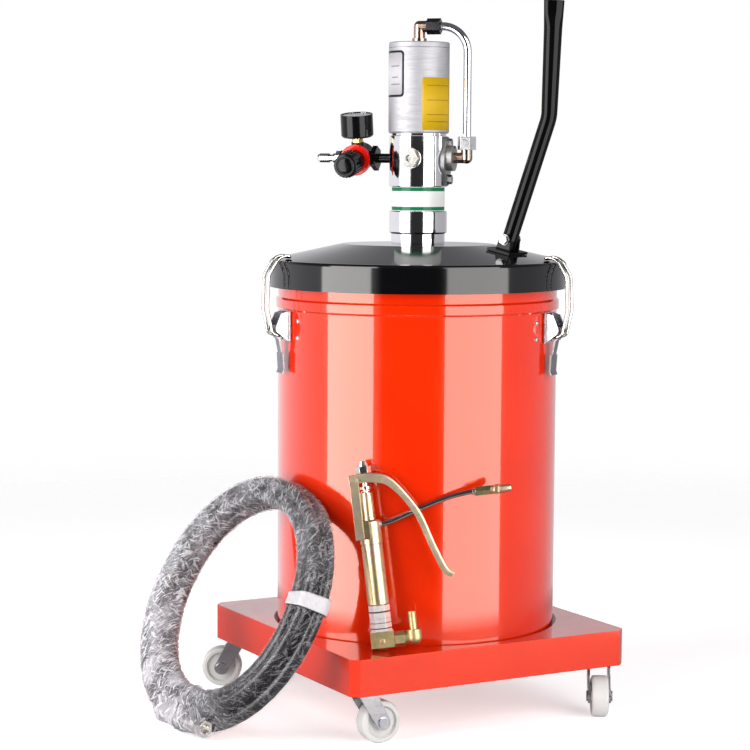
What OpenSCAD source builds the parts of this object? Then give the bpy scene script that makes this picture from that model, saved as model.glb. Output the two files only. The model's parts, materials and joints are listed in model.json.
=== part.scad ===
// Mobile grease pump: an air-driven drum pump on a four-caster cart, with a
// control gun standing on the cart and a coiled delivery hose leaning on the drum.
// Millimetres. +Z is up, the floor is z = 0 and the drum's axis is x = 0, y = 0.
// The cart's front edge faces -Y. The angles of ports and latches run from +X towards +Y.

/* [Cart] */
// Side of the square cart
cart_w = 378; // [366:1:420]
// Depth of the cart's folded skirt
skirt_h = 43.5; // [36:0.5:60]
// Sheet thickness of the cart
cart_t = 2; // [1.5:0.5:3]
// Flat cut across each corner of the cart
corner_cut = 9; // [6:1:16]
// Depth of the round well that the drum stands in
well_depth = 12.5; // [8:0.5:14]
// Radial gap between the drum and the well's wall
well_gap = 4; // [2:0.5:6]
// Side of each corner gusset that carries a caster
gusset_w = 46; // [44:1:60]
// Thickness of the gussets
gusset_t = 3; // [2:0.5:5]
// Width of the two rails under the well
rail_w = 20; // [12:1:30]
// Distance of the rails from the cart's middle
rail_y = 90; // [70:1:110]

/* [Casters] */
// Wheel diameter
wheel_d = 50; // [45:1:52]
// Wheel tread width
wheel_w = 20; // [16:1:22]
// Height from the floor to the gusset that the caster hangs from
caster_h = 66; // [65:0.5:75]
// How far the gusset sits above the skirt's lower edge
caster_recess = 5; // [3:0.5:10]
// Distance of each swivel axis from the cart's edges
caster_inset = 24; // [23:0.5:40]
// Trail of the axle behind the swivel axis
caster_trail = 22; // [18:1:26]
// Diameter of the axle
axle_d = 8; // [6:1:10]
// Diameter of the swivel stem
stem_d = 10; // [8:1:12]
// Sheet thickness of the fork
fork_t = 2.4; // [2:0.1:3]
// Diameter of the upper race
race_d = 36; // [30:1:38]

/* [Drum] */
// Outer radius of the drum
drum_r = 172; // [160:1:178]
// Height of the drum with its curled rim
drum_h = 454; // [400:1:520]
// Sheet thickness of the drum
drum_t = 1.5; // [1:0.1:2]
// Height of the rolled bead under the lid
bead_h = 15; // [10:1:20]
// How far the bead stands proud of the wall
bead_out = 2.4; // [1.5:0.1:4]
// Height from the bead's middle to the top of the rim
bead_drop = 47.5; // [40:0.5:60]
// Radius of the curled rim
curl_r = 3; // [2:0.25:4]

/* [Lid] */
// How far the lid's skirt stands out past the drum's wall
lid_over = 11; // [9:0.5:16]
// Sheet thickness of the lid
lid_t = 1.5; // [1:0.1:2]
// How far the lid's skirt hangs below the drum's rim
lid_lap = 28; // [20:1:35]
// Radius of the flat middle of the lid
plateau_r = 94; // [70:1:110]
// Rise of the sloping part of the lid
lid_rise = 18.7; // [14:0.1:26]
// Radius of the round between the skirt and the slope
lid_round = 5; // [3:0.5:7]

/* [Latches] */
// Radius of the lever's fixed pin
latch_pin_r = 186.6; // [185:0.2:188]
// Height of the fixed pin below the drum's rim
latch_pin_drop = 76; // [73:1:84]
// Diameter of the fixed pin
latch_pin_d = 5; // [4:0.5:5.5]
// Wire diameter of the bail
bail_d = 3.5; // [3:0.25:4]
// Half of the distance between the bail's two legs
bail_half = 8; // [7.8:0.1:8.4]
// Length of the lever below its pin
lever_len = 54; // [40:1:60]
// Width of the lever's grip
lever_w = 20; // [16:1:21]

/* [Handle] */
// Outer diameter of the handle tube
handle_d = 19; // [16:0.5:20]
// Wall of the handle tube
handle_t = 1.5; // [1:0.25:2.5]
// How far the handle's foot stands in from the lid's edge
handle_in = 57; // [48:1:68]
// Outward reach of the leaning stretch
handle_reach = 55; // [30:1:58]
// Height of the bend above the foot
handle_bend_h = 156; // [120:1:200]
// Height of the top above the bend
handle_top_h = 137; // [90:1:180]
// Width of the flattened upper end
handle_flat_w = 24.4; // [21:0.1:26]

/* [Pump] */
// Radius of the lower collar that stands on the lid
collar_r = 33; // [30:0.5:35]
// Radius of the collar's ring, which carries the grease outlet
ring_r = 35.5; // [34:0.5:38]
// Radius of the neck under the valve block
neck_r = 32.5; // [29:0.5:34]
// Radius of the valve block
block_r = 36; // [35:0.5:38]
// Outer radius of the air cylinder
air_r = 37.2; // [36:0.1:39]
// Bore radius of the air cylinder
air_bore_r = 34; // [30:0.5:34.5]
// Height of the collar below its ring
collar_h = 13.6; // [10:0.1:20]
// Height of the ring
ring_h = 27; // [22:0.5:32]
// Height of the neck
neck_h = 29.4; // [20:0.1:40]
// Height of the valve block
block_h = 62.5; // [60:0.5:70]
// Height of the air cylinder
air_h = 110.7; // [100:0.1:130]
// Stroke of the air piston
stroke = 70; // [40:1:72]
// Diameter of the pump rod
rod_d = 10; // [8:1:12]
// Outer radius of the suction tube
tube_r = 17; // [16:0.5:20]
// Wall of the suction tube
tube_t = 2.5; // [2:0.25:3]
// Height of the foot valve above the drum's floor
foot_gap = 8.5; // [6:0.5:20]

/* [Air line] */
// Diameter of the chrome air tube
air_tube_d = 10; // [8:0.5:10]
// Distance of the tube's upright from the pump's axis
air_tube_x = 61; // [58:0.5:64]
// Bend radius of the air tube, at its middle
air_bend_r = 32; // [25:1:34]
// Height of the air inlet above the block's lower face
inlet_rise = 34.7; // [31:0.1:38]
// Distance of the regulator from the pump's axis
reg_x = 77; // [74:1:82]
// Turn of the regulator about the air inlet
reg_tilt = 10; // [0:1:20]
// Radius of the pressure gauge
gauge_r = 20; // [18:0.5:22]
// Depth of the gauge case
gauge_h = 28; // [22:0.5:30]
// Radius of the regulator's locking ring
lock_r = 19; // [17:0.5:20]
// Radius of the regulator's knob
knob_r = 15.5; // [13:0.5:16.5]

/* [Gun] */
// Radius of the gun's grip barrel
grip_r = 12.5; // [11:0.5:13]
// Sideways lean of the gun
gun_lean_side = 7; // [5:0.5:8]
// Lean of the gun towards the drum
gun_lean_back = 7.5; // [6:0.25:8]
// Diameter of the gun's nozzle tube
nozzle_d = 6; // [5:0.5:6]
// Reach of the trigger to the right
trigger_reach = 107; // [95:1:115]
// Drop of the trigger from its pivot to its tip
trigger_drop = 124; // [110:1:130]
// Height of the trigger's pressed channel
trigger_h = 11; // [9:0.5:12]
// Turns of the valve spring
spring_turns = 8; // [5:1:10]

/* [Hose] */
// Outer diameter of the hose
hose_d = 16; // [14:0.5:16]
// Spacing of the hose's turns
hose_pitch = 16.6; // [16.5:0.1:18]
// Mean radius of the coil
coil_r = 137.7; // [130:0.1:140]
// Loops in the coil
coil_turns = 4; // [2:1:4]
// Lean of the coil from upright
coil_lean = 27.7; // [24:0.1:30]

/* [Hidden] */
$fn = 64;

// One overrun for every cut, one gap between bodies, one fit for shafts and one for seats
cut = 1;
gap = 0.3;
fit = 0.05;
seat = 0.1;

// Heights that stack up from the floor
skirt_z = caster_h - caster_recess;
deck_z = skirt_z + skirt_h;
drum_z = deck_z - well_depth;
rim_z = drum_z + drum_h;
lid_edge_z = rim_z - lid_lap;
lid_r = drum_r + lid_over;
handle_foot_r = lid_r - handle_in;
slope_z = rim_z + curl_r + 2.3 * lid_t - lid_t / 2;
plateau_z = slope_z + lid_rise;
ring_z = plateau_z + collar_h;
neck_z = ring_z + ring_h;
block_z = neck_z + neck_h;
block_top_z = block_z + block_h;
air_groove = 2.5;
air_z = block_top_z + air_groove;
air_top_z = air_z + air_h;
inlet_z = block_z + inlet_rise;

// Directions of the ports
plug_az = -135;
cover_az = -45;
inlet_az = 135;
outlet_az = 45;
handle_az = -61.5;
latch_az = [174, -54, 60];

// Cart details
well_r = drum_r + well_gap;
well_floor_z = drum_z - cart_t;
rail_h = well_floor_z - caster_h - gusset_t;

// Caster details: the place of each swivel and the way its fork trails
caster_c = cart_w / 2 - caster_inset;
caster_places = [[-1, -1], [1, -1], [1, 1], [-1, 1]];
trail_az = [0, -120, 50, 150];
wheel_r = wheel_d / 2;
race_t = 3.5;
crown_t = 2.5;
edge_break = 1;
crown_lip = 1;
crown_r = race_d / 2 + crown_lip;
crown_z = caster_h - race_t - gap;
hub_proud = 1;
hub_half = wheel_w / 2 + hub_proud;
leg_in = hub_half + gap;
leg_out = leg_in + fork_t;
leg_r = 9;
stem_head_r = 8;
stem_head_t = 2.8;
stem_up = 12;
nut_h = 8;
nut_r = 9;
axle_head_r = 6.5;
axle_head_t = 2;
tyre_round = 3;
dish_r = 17;
dish_depth = 3;
hub_r = 8;

// Drum, gasket and follower details
drum_in = drum_r - drum_t;
drum_floor_z = drum_z + 3 * drum_t;
floor_top_z = drum_floor_z + drum_t;
bead_z = rim_z - bead_drop;
bead_slope = 2.4;
gasket_low = 0.1;
gasket_in = drum_in + gasket_low;
gasket_over = 2.4;
gasket_out = drum_r + curl_r + gasket_over;
follower_t = 2;
follower_rim = 18;
seal_w = 8;
seal_t = 6;
grease_left = 40;
follower_z = floor_top_z + grease_left;
seal_r = drum_in - gap;
plate_r = seal_r - seal_w / 2;

// Latch details, in a frame whose x is the distance from the drum's axis
pin_z = rim_z - latch_pin_drop;
bracket_t = 2;
bracket_w = 30;
bracket_up = 21;
bracket_down = 15;
bracket_seat = 0.4;
bracket_back = drum_r + bracket_seat;
ear_in = 11;
ear_t = 2;
ear_nose = 4.5;
barrel_r = 4.2;
barrel_half = 6;
toggle_in = 2.4;
toggle_x = latch_pin_r - toggle_in;
toggle_drop = 8.6;
toggle_z = pin_z - toggle_drop;
wire_r = bail_d / 2;
bail_foot_x = 7;
bail_foot_z = 3;
bail_flare_x = 4;
bail_flare_z = 8;
bail_bow_z = 24;
bail_edge_x = 2;
bail_lid_x = 2;
bail_lid_z = 3.4;
bail_tip_x = 4;
bail_tip_z = 6.2;
bow_out = 17;
bow_r = lid_r + bow_out;
hook_in = 12.5;
hook_x = lid_r - hook_in;
pin_head_t = 1.4;
pin_head_r = 4;
rivet_r = 3.2;
rivet_t = 1.6;
rivet_side = 30;
rivet_rise = 10;
lever_t = 2;
lever_curl = 5;
lever_neck = 21;

// Handle details, in a frame whose x is the distance from the drum's axis
slope_angle = atan2(lid_rise, lid_r - lid_round - plateau_r);
foot_z = slope_z + (lid_r - lid_round - handle_foot_r) * tan(slope_angle);
handle_r = handle_d / 2;
handle_lift = 5;
handle_z = foot_z + handle_lift;
handle_lean = atan2(handle_reach, handle_bend_h);
handle_top_lean = 2;
handle_bend_r = 45;
flat_len = 34;
flat_t = 11;
handle_sides = 20;
bracket_foot = 34;
bracket_plate = 3;
cheek_t = 3;
cheek_h = 20;
handle_bolt_z = 11;

// Screw details
screw_r = 3;
screw_head_r = 5.8;
screw_head_t = 4;
handle_nut_t = 5;
washer_r = 6.6;
washer_t = 1.2;

// Pump details
rod_r = rod_d / 2;
tube_in_collar = 16;
tube_top_z = plateau_z + tube_in_collar;
lid_hole_gap = 0.6;
lid_hole_r = tube_r + lid_hole_gap;
chamber_r = 12;
wall = 3.6;
outlet_z = ring_z + ring_h / 2;
outlet_reach = 12;
outlet_x = ring_r + outlet_reach;
outlet_r = 11;
outlet_bore_r = 5.9;
outlet_depth = 14;
foot_valve_r = 22;
foot_valve_h = 26;
foot_lap = 12;
foot_base_t = 4;
foot_hole_r = 4.5;
ball_r = 6;
foot_valve_z = floor_top_z + foot_gap;
tube_low_z = foot_valve_z + foot_valve_h - foot_lap;
slot_w = 8;
slot_h = 6;
head_h = 20;
head_above = 24;
head_z = tube_low_z + head_above;
spigot_h = 3;
spigot_r = air_bore_r - seat;
air_cap_t = 6;
air_chamfer = 2;
piston_h = 16;
piston_rest = 4;
piston_z = block_top_z + air_groove + spigot_h + piston_rest;
shoulder_r = 9;
shoulder_t = 3;
piston_nut_t = 6;
piston_groove = 2;
spool_x = 22;
spool_r = 5;
spool_h = 34;
spool_travel = 6;
spool_low = 9;
spool_waist_r = 3.4;
cover_flat = 33;
cover_t = 4.5;
cover_half_w = 20;
cover_half_h = 30;
cover_screw_dz = 22;
boss_r = 16;
boss_t = 8;
cover_screw_len = 8.5;
boss_dz = 4.2;
cover_mid_z = block_z + block_h / 2;
port_r = 6;
port_depth = 12;
plug_hex_r = 11.5;
plug_hex_t = 7;
plug_sink = 1.6;
plug_flange_r = 12.5;
plug_flange_t = 3;
socket_r = 4.6;
socket_depth = 4;

// Air tube details
air_tube_r = air_tube_d / 2;
elbow_r = 7;
elbow_rise = 19.4;
elbow_collar_r = 9;
elbow_collar_t = 5;
cap_spigot = 5;
tube_run_z = air_top_z + elbow_rise;
nut_af = 17;
tube_nut_r = nut_af / sqrt(3);
upper_nut_x = 10;
upper_nut_len = 17;
low_nut_af = 20;
low_nut_r = low_nut_af / sqrt(3);
low_nut_len = 16;
low_elbow_z = cover_mid_z + boss_dz;
low_elbow_h = 10;
arm_r = 6.5;

// Regulator details: x runs out along the inlet, y towards the knob, z up to the gauge
pipe_r = 5.8;
pipe_in = 12;
pipe_end = reg_x - lock_r - gap;
hex_af = 27;
hex_r = hex_af / sqrt(3);
hex_t = 6;
reg_r = 17;
reg_back = 18;
reg_front = 10;
reg_port_r = 9.5;
reg_port_half = 22;
lock_t = 7;
bonnet_r = 13;
bonnet_t = 9;
knob_len = 30;
knob_ribs = 24;
rib_r = 1;
gauge_port_r = 8;
gauge_port_z = 20;
gauge_z = 26.8;
gauge_stem_r = 5.3;
case_t = 1.5;
dial_drop = 6;
lens_t = 1.5;
lens_drop = 0.8;
needle_t = 0.6;
needle_w = 1.4;
needle_len = 14;
needle_hub_r = 2.2;
needle_pin_r = 0.8;
needle_az = 60;
nipple_hex_r = 9;
nipple_hex_t = 6;
nipple_r = 5.8;
nipple_len = 24;
nipple_neck_r = 4.4;
nipple_neck = 4;
nipple_bore_r = 3;
nipple_tip = 3;

// Gun details: x runs right, y towards the drum, z up along the barrel
gun_az = -30;
gun_side = -35.4;
gun_ball_r = 11;
gun_tilt_cos = cos(gun_lean_side) * cos(gun_lean_back);
gun_z = deck_z + gap + gun_ball_r - gun_ball_r * gun_tilt_cos;
swivel_hex_z = 22;
block_side = 13.5;
block_half = 10.5;
block_low = 3.2;
swivel_hex_h = 15;
gun_hex_r = 12.4;
stem_len = 12;
stem_r = 6.5;
gun_nut_z = swivel_hex_z + swivel_hex_h + gap;
gun_nut_h = 15;
grip_z = gun_nut_z + gun_nut_h;
grip_h = 72;
seam_t = 1;
head_top = 27.7;
gun_head_r = 13;
gun_head_z = grip_z + grip_h;
gun_top_z = gun_head_z + head_top;
head_flat = 7.5;
hose_bore_r = 4;
yoke_t = 2.5;
yoke_x = -12.5;
yoke_w = 10;
yoke_lift = 46.8;
yoke_pivot_z = gun_top_z + yoke_lift;
yoke_top = 6;
yoke_low = 22;
pivot_r = 3;
pivot_head = 1.6;
valve_rod_r = 3;
valve_rod_low = 30;
rod_travel = 6;
rod_above_pivot = 4.4;
valve_rod_top = yoke_pivot_z + rod_above_pivot;
rod_collar_r = 6.4;
rod_collar_lift = 36;
rod_collar_z = gun_top_z + rod_collar_lift;
rod_collar_t = 3;
spring_wire = 1.5;
spring_r = 5.2;
spring_sides = 6;
spring_rings = 8;
strip_t = 1.5;
strip_half = head_flat - gap;
arm_y = 0.6;
adjuster_r = 8.8;
adjuster_h = 14;
adjuster_seat = 1.1;
adjuster_lift = 9;
adjuster_z = yoke_pivot_z + adjuster_lift;
nozzle_y = 4;
nozzle_r = nozzle_d / 2;
nozzle_drop = 6;
nozzle_z = gun_top_z - nozzle_drop;
nozzle_boss_r = 4.6;
nozzle_reach = 123;
nozzle_lift = 25;
coupler_r = 6;
coupler_len = 22;
coupler_tip = 17;
coupler_tip_r = 4.6;
mouth_r = 3.4;
mouth_depth = 8;
swivel_arm_r = 6.5;
swivel_arm_nut_r = 9.4;
swivel_arm_nut = [14, 26];
elbow_x = 37;
elbow_box = 9;
stub_r = 4.6;
stub_len = 21;
stub_bore_r = 3;
gun_depth = sqrt(pow(drum_r + nozzle_r + gap, 2) - pow(gun_side + 41, 2))
  + (gun_top_z + nozzle_lift / 2) * sin(gun_lean_back) + nozzle_y;

// Hose coil: the tube's points in the coil's own plane, spiralling in, then out again
coil_x = -254.2;
coil_y = -14.6;
coil_az = 188;
hose_r = hose_d / 2;
ring_count = 24;
hose_sides = 6;
ferrule_r = 9;
ferrule_len = 26;
union_r = 9.8;
union_len = 15;
union_bore_r = 5.9;
coil_out = coil_r + hose_pitch * coil_turns / 4;
coil_low = coil_out * cos(coil_lean) + hose_pitch / 2 * sin(coil_lean) + union_r;

function coil_radius(t) = coil_out - hose_pitch * (coil_turns / 2 - abs(t - coil_turns / 2));
function coil_layer(t) = hose_pitch * (min(max((t - coil_turns / 2) * 2, -0.5), 0.5));
function coil_point(t) = [
  coil_radius(t) * cos(t * 360), coil_radius(t) * sin(t * 360), coil_layer(t)
];
coil_path = concat(
  [coil_point(0) - [0, hose_d, 0]],
  [for (i = [0:ring_count * coil_turns]) coil_point(i / ring_count)],
  [coil_point(coil_turns) + [0, hose_d, 0]]
);

// A tube of any section swept along points, with its rings kept square to the path
function unit(v) = v / norm(v);
function way(path, i) = let (last = len(path) - 1)
  unit(path[min(i + 1, last)] - path[max(i - 1, 0)]);
function square_to(dir, side) = unit(side - dir * (side * dir));
function sides_along(path, side) = [
  for (i = 0, a = square_to(way(path, 0), side); i < len(path);
    i = i + 1, a = i < len(path) ? square_to(way(path, i), a) : a) a
];
function ring_points(centre, dir, a, half_a, half_b, sides) = let (b = cross(dir, a))
  [for (k = [0:sides - 1]) centre
    + a * half_a * cos(360 * k / sides) + b * half_b * sin(360 * k / sides)];
function tube_faces(rings, sides) = concat(
  [for (k = [1:sides - 2]) [0, k, k + 1]],
  [for (i = [0:rings - 2]) for (k = [0:sides - 1]) let (n = (k + 1) % sides)
    [i * sides + k, (i + 1) * sides + k, i * sides + n]],
  [for (i = [0:rings - 2]) for (k = [0:sides - 1]) let (n = (k + 1) % sides)
    [i * sides + n, (i + 1) * sides + k, (i + 1) * sides + n]],
  [for (k = [1:sides - 2]) let (m = (rings - 1) * sides) [m, m + k + 1, m + k]]
);
module swept(path, side, radius, sides) {
  along = sides_along(path, side);
  points = [for (i = [0:len(path) - 1])
    each ring_points(path[i], way(path, i), along[i], radius, radius, sides)];
  polyhedron(points, tube_faces(len(path), sides), convexity = 10);
}

// A path with each of its corners rounded in a few steps
round_steps = 3;
function rounded(path, radius) = let (last = len(path) - 1) concat(
  [path[0]],
  [for (i = [1:last - 1]) let (
      back = path[i - 1] - path[i],
      on = path[i + 1] - path[i],
      a = path[i] + unit(back) * min(radius, norm(back) * 0.45),
      b = path[i] + unit(on) * min(radius, norm(on) * 0.45)
    ) for (k = [0:round_steps]) let (t = k / round_steps)
      (1 - t) * (1 - t) * a + 2 * t * (1 - t) * path[i] + t * t * b],
  [path[last]]
);

// The least gap between the surfaces of two turns that are at least half a turn apart
half_loop = ring_count / 2;
coil_gap = min([for (i = [0:len(coil_path) - 1]) for (j = [i + half_loop:len(coil_path) - 1])
  norm(coil_path[i] - coil_path[j])]) - hose_d;
echo(least_hose_gap = coil_gap);  // hose_coil

// Flat outlines
module hexagon(radius) { circle(r = radius, $fn = 6); }
module tube2d(outer, inner) { difference() { circle(r = outer); circle(r = inner); } }
module cut_square(width, corner) {
  h = width / 2;
  polygon([[-h + corner, -h], [h - corner, -h], [h, -h + corner], [h, h - corner],
           [h - corner, h], [-h + corner, h], [-h, h - corner], [-h, -h + corner]]);
}

// Frames
module at_caster(i) {
  place = caster_places[i - 1];
  translate([place[0] * caster_c, place[1] * caster_c, 0]) rotate([0, 0, trail_az[i - 1]])
    children();
}
module along_y() { rotate([-90, 0, 0]) children(); }
module along_x() { rotate([0, 90, 0]) children(); }
module at_latch(i) { rotate([0, 0, latch_az[i - 1]]) children(); }
module at_regulator() {
  rotate([0, 0, inlet_az]) translate([0, 0, inlet_z]) rotate([-reg_tilt, 0, 0]) children();
}
module at_gun() {
  rotate([0, 0, gun_az]) translate([gun_side, -gun_depth, gun_z])
    rotate([-gun_lean_back, 0, 0]) rotate([0, -gun_lean_side, 0]) children();
}
module at_coil() {
  translate([coil_x, coil_y, coil_low]) rotate([0, 90 - coil_lean, coil_az]) children();
}

// Cart
module cart_base() {
  color("orangered") {
    difference() {
      translate([0, 0, skirt_z]) linear_extrude(skirt_h) cut_square(cart_w, corner_cut);
      translate([0, 0, skirt_z - cut]) linear_extrude(skirt_h - cart_t + cut)
        cut_square(cart_w - 2 * cart_t, corner_cut);
      translate([0, 0, skirt_z]) cylinder(r = well_r, h = skirt_h + cut, $fn = 128);
    }
    translate([0, 0, well_floor_z]) difference() {
      cylinder(r = well_r + cart_t, h = well_depth, $fn = 128);
      translate([0, 0, cart_t]) cylinder(r = well_r, h = well_depth, $fn = 128);
    }
    for (side = [-1, 1]) translate([-cart_w / 2 + cart_t, side * rail_y - rail_w / 2, well_floor_z - rail_h])
      cube([cart_w - 2 * cart_t, rail_w, rail_h]);
    for (place = caster_places) difference() {
      translate([0, 0, caster_h]) linear_extrude(gusset_t) intersection() {
        cut_square(cart_w - 2 * cart_t, corner_cut);
        translate([place[0] * (cart_w / 2 - gusset_w / 2), place[1] * (cart_w / 2 - gusset_w / 2)])
          square(gusset_w, center = true);
      }
      translate([place[0] * caster_c, place[1] * caster_c, caster_h - cut])
        cylinder(d = stem_d + 2 * seat, h = gusset_t + 2 * cut);
    }
  }
}
module caster_stems() {
  color("gainsboro") for (i = [1:4]) at_caster(i) {
    translate([0, 0, caster_h - race_t]) cylinder(d = race_d, h = race_t);
    stem_low = crown_z - crown_t - gap - stem_head_t;
    translate([0, 0, stem_low]) cylinder(d = stem_d, h = caster_h + stem_up - stem_low);
    translate([0, 0, stem_low]) cylinder(r = stem_head_r, h = stem_head_t);
    translate([0, 0, caster_h + gusset_t]) linear_extrude(nut_h) hexagon(nut_r);
  }
}
module fork_leg(inner) {
  translate([0, inner, 0]) rotate([90, 0, 0]) linear_extrude(fork_t, center = true) {
    hull() {
      translate([caster_trail, wheel_r]) circle(r = leg_r);
      translate([-crown_r * 0.55, crown_z - crown_t]) square([crown_r * 1.2, crown_t]);
    }
  }
}
module caster_fork(i) {
  color("gainsboro") at_caster(i) {
    difference() {
      union() {
        translate([0, 0, crown_z - crown_t]) cylinder(r = crown_r, h = crown_t);
        for (side = [-1, 1]) fork_leg(side * (leg_in + fork_t / 2));
      }
      translate([0, 0, crown_z - crown_t - cut]) cylinder(d = stem_d + 2 * fit, h = crown_t + 2 * cut);
    }
    translate([caster_trail, -leg_out, wheel_r]) along_y() cylinder(d = axle_d, h = 2 * leg_out);
    for (side = [-1, 1]) translate([caster_trail, side * (leg_out + axle_head_t / 2), wheel_r])
      along_y() cylinder(r = axle_head_r, h = axle_head_t, center = true);
  }
}
module caster_wheel(i) {
  h = wheel_w / 2;
  color("whitesmoke") at_caster(i) translate([caster_trail, 0, wheel_r]) along_y()
    rotate_extrude($fn = 96) polygon([
      [axle_d / 2 + fit, -hub_half], [hub_r, -hub_half], [hub_r + edge_break, dish_depth - h],
      [dish_r, dish_depth - h], [dish_r + 2 * edge_break, -h], [wheel_r - tyre_round, -h],
      [wheel_r - tyre_round * 0.3, -h + tyre_round * 0.3], [wheel_r, -h + tyre_round],
      [wheel_r, h - tyre_round], [wheel_r - tyre_round * 0.3, h - tyre_round * 0.3],
      [wheel_r - tyre_round, h], [dish_r + 2 * edge_break, h], [dish_r, h - dish_depth],
      [hub_r + edge_break, h - dish_depth], [hub_r, hub_half], [axle_d / 2 + fit, hub_half]
    ]);
}

// Drum
function drum_line(r) = [
  [r, drum_z], [r, bead_z - bead_h / 2], [r + bead_out, bead_z - bead_h / 2 + bead_slope],
  [r + bead_out, bead_z + bead_h / 2 - bead_slope], [r, bead_z + bead_h / 2], [r, rim_z - curl_r]
];
module drum() {
  inner = drum_line(drum_in);
  color("orangered") {
    rotate_extrude($fn = 128) union() {
      polygon(concat(drum_line(drum_r), [for (i = [len(inner) - 1:-1:0]) inner[i]]));
      translate([drum_in + curl_r, rim_z - curl_r]) circle(r = curl_r, $fn = 32);
    }
    translate([0, 0, drum_floor_z]) cylinder(r = drum_in + drum_t / 2, h = drum_t, $fn = 128);
  }
}
function slope_at(r) = slope_z + (lid_r - lid_round - r) * tan(slope_angle);
module lid_gasket() {
  under = lid_t / cos(slope_angle) + seat;
  color("dimgray") rotate_extrude($fn = 128) polygon([
    [gasket_in, rim_z + gasket_low], [gasket_out, rim_z + gasket_low],
    [gasket_out, slope_at(gasket_out) - under], [gasket_in, slope_at(gasket_in) - under]
  ]);
}
function lid_line(inset) = concat(
  [[lid_r - inset, lid_edge_z]],
  [for (a = [0:15:75]) [
    lid_r - lid_round + (lid_round - inset) * cos(a),
    slope_z - lid_round + (lid_round - inset) * sin(a)
  ]],
  [[lid_r - lid_round, slope_z - inset], [plateau_r, plateau_z - inset],
   [lid_hole_r, plateau_z - inset]]
);
module lid() {
  inner = lid_line(lid_t);
  color("black")
    rotate_extrude($fn = 128) polygon(concat(lid_line(0), [for (i = [len(inner) - 1:-1:0]) inner[i]]));
}
module follower_plate() {
  color("silver") difference() {
    rotate_extrude($fn = 128) polygon([
      [tube_r + fit, follower_z], [plate_r, follower_z], [plate_r, follower_z + follower_rim],
      [plate_r - follower_t, follower_z + follower_rim], [plate_r - follower_t, follower_z + follower_t],
      [tube_r + 3 * follower_t, follower_z + follower_t], [tube_r + 3 * follower_t, follower_z + follower_rim],
      [tube_r + fit, follower_z + follower_rim]
    ]);
  }
}
module follower_seal() {
  color("dimgray") translate([0, 0, follower_z + follower_t]) rotate_extrude($fn = 128)
    polygon([[plate_r + seat, 0], [seal_r - edge_break, 0], [seal_r, edge_break], [seal_r, seal_t - edge_break],
             [seal_r - edge_break, seal_t], [plate_r + seat, seal_t]]);
}

// Latches
module latch_bracket() {
  translate([bracket_back, -bracket_w / 2, pin_z - bracket_down])
    cube([bracket_t, bracket_w, bracket_up + bracket_down]);
  for (side = [-1, 1]) translate([0, side * (ear_in + ear_t / 2), 0]) difference() {
    rotate([90, 0, 0]) linear_extrude(ear_t, center = true) hull() {
      translate([bracket_back, pin_z - bracket_down]) square([bracket_t, bracket_up + bracket_down]);
      translate([latch_pin_r, pin_z]) circle(r = ear_nose);
      translate([latch_pin_r - ear_nose, pin_z + bracket_up - ear_nose]) circle(r = ear_nose / 2);
    }
    translate([latch_pin_r, 0, pin_z]) along_y()
      cylinder(d = latch_pin_d + 2 * seat, h = ear_t + cut, center = true);
  }
}
module latch_brackets() {
  color("gainsboro") for (i = [1:3]) at_latch(i) latch_bracket();
}
module latch_pins() {
  half = ear_in + ear_t;
  color("silver") for (i = [1:3]) at_latch(i) {
    translate([latch_pin_r, 0, pin_z]) along_y() {
      cylinder(d = latch_pin_d, h = 2 * half, center = true);
      for (side = [-1, 1]) translate([0, 0, side * (half + pin_head_t / 2)])
        cylinder(r = pin_head_r, h = pin_head_t, center = true);
    }
    for (side = [-1, 1]) for (rise = [-1, 1]) rotate([0, 0, side * rivet_side * 180 / PI / drum_r])
      translate([drum_r, 0, pin_z + rise * rivet_rise]) along_x() rotate_extrude($fn = 24)
        polygon([[0, 0], [rivet_r, 0], [rivet_r * 0.8, rivet_t * 0.7], [rivet_r * 0.4, rivet_t], [0, rivet_t]]);
  }
}
module latch_lever(i) {
  color("dimgray") at_latch(i) difference() {
    union() {
      hull() for (p = [[latch_pin_r, pin_z, barrel_r], [toggle_x, toggle_z, wire_r + lever_t]])
        translate([p[0], 0, p[1]]) along_y() cylinder(r = p[2], h = 2 * barrel_half, center = true);
      rotate([90, 0, 0]) linear_extrude(2 * barrel_half, center = true) polygon([
        [toggle_x + lever_t / 2, toggle_z - lever_curl / 2], [toggle_x - lever_t, toggle_z - lever_curl / 2],
        [toggle_x - 2.4 * lever_t, toggle_z - lever_neck], [toggle_x - 1.4 * lever_t, toggle_z - lever_neck]
      ]);
      rotate([90, 0, 0]) linear_extrude(lever_w, center = true) polygon([
        [toggle_x - 1.4 * lever_t, toggle_z - lever_neck], [toggle_x - 2.4 * lever_t, toggle_z - lever_neck],
        [toggle_x - 3 * lever_t, pin_z - lever_len + lever_curl],
        [toggle_x - 2.2 * lever_t, pin_z - lever_len], [toggle_x - 1.2 * lever_t, pin_z - lever_len],
        [toggle_x - 2 * lever_t, pin_z - lever_len + lever_curl]
      ]);
    }
    translate([latch_pin_r, 0, pin_z]) along_y()
      cylinder(d = latch_pin_d + 2 * fit, h = 2 * barrel_half + cut, center = true);
    translate([toggle_x, 0, toggle_z]) along_y()
      cylinder(r = wire_r + fit, h = 2 * barrel_half + cut, center = true);
  }
}
function bail_points() = [
  [toggle_x, toggle_z], [latch_pin_r + bail_foot_x, toggle_z + bail_foot_z],
  [bow_r - bail_flare_x, pin_z + bail_flare_z], [bow_r, pin_z + bail_bow_z],
  [bow_r - bail_edge_x, lid_edge_z + lid_lap * 0.6], [lid_r + bail_lid_x, slope_z + bail_lid_z],
  [hook_x + bail_tip_x, slope_z + bail_tip_z],
  [hook_x, slope_at(hook_x) + wire_r + gap * 2]
];
bail_end_in = 2.2;
bail_inner = barrel_half - bail_end_in;
bail_bend = 5;
bail_sides = 10;
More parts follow.
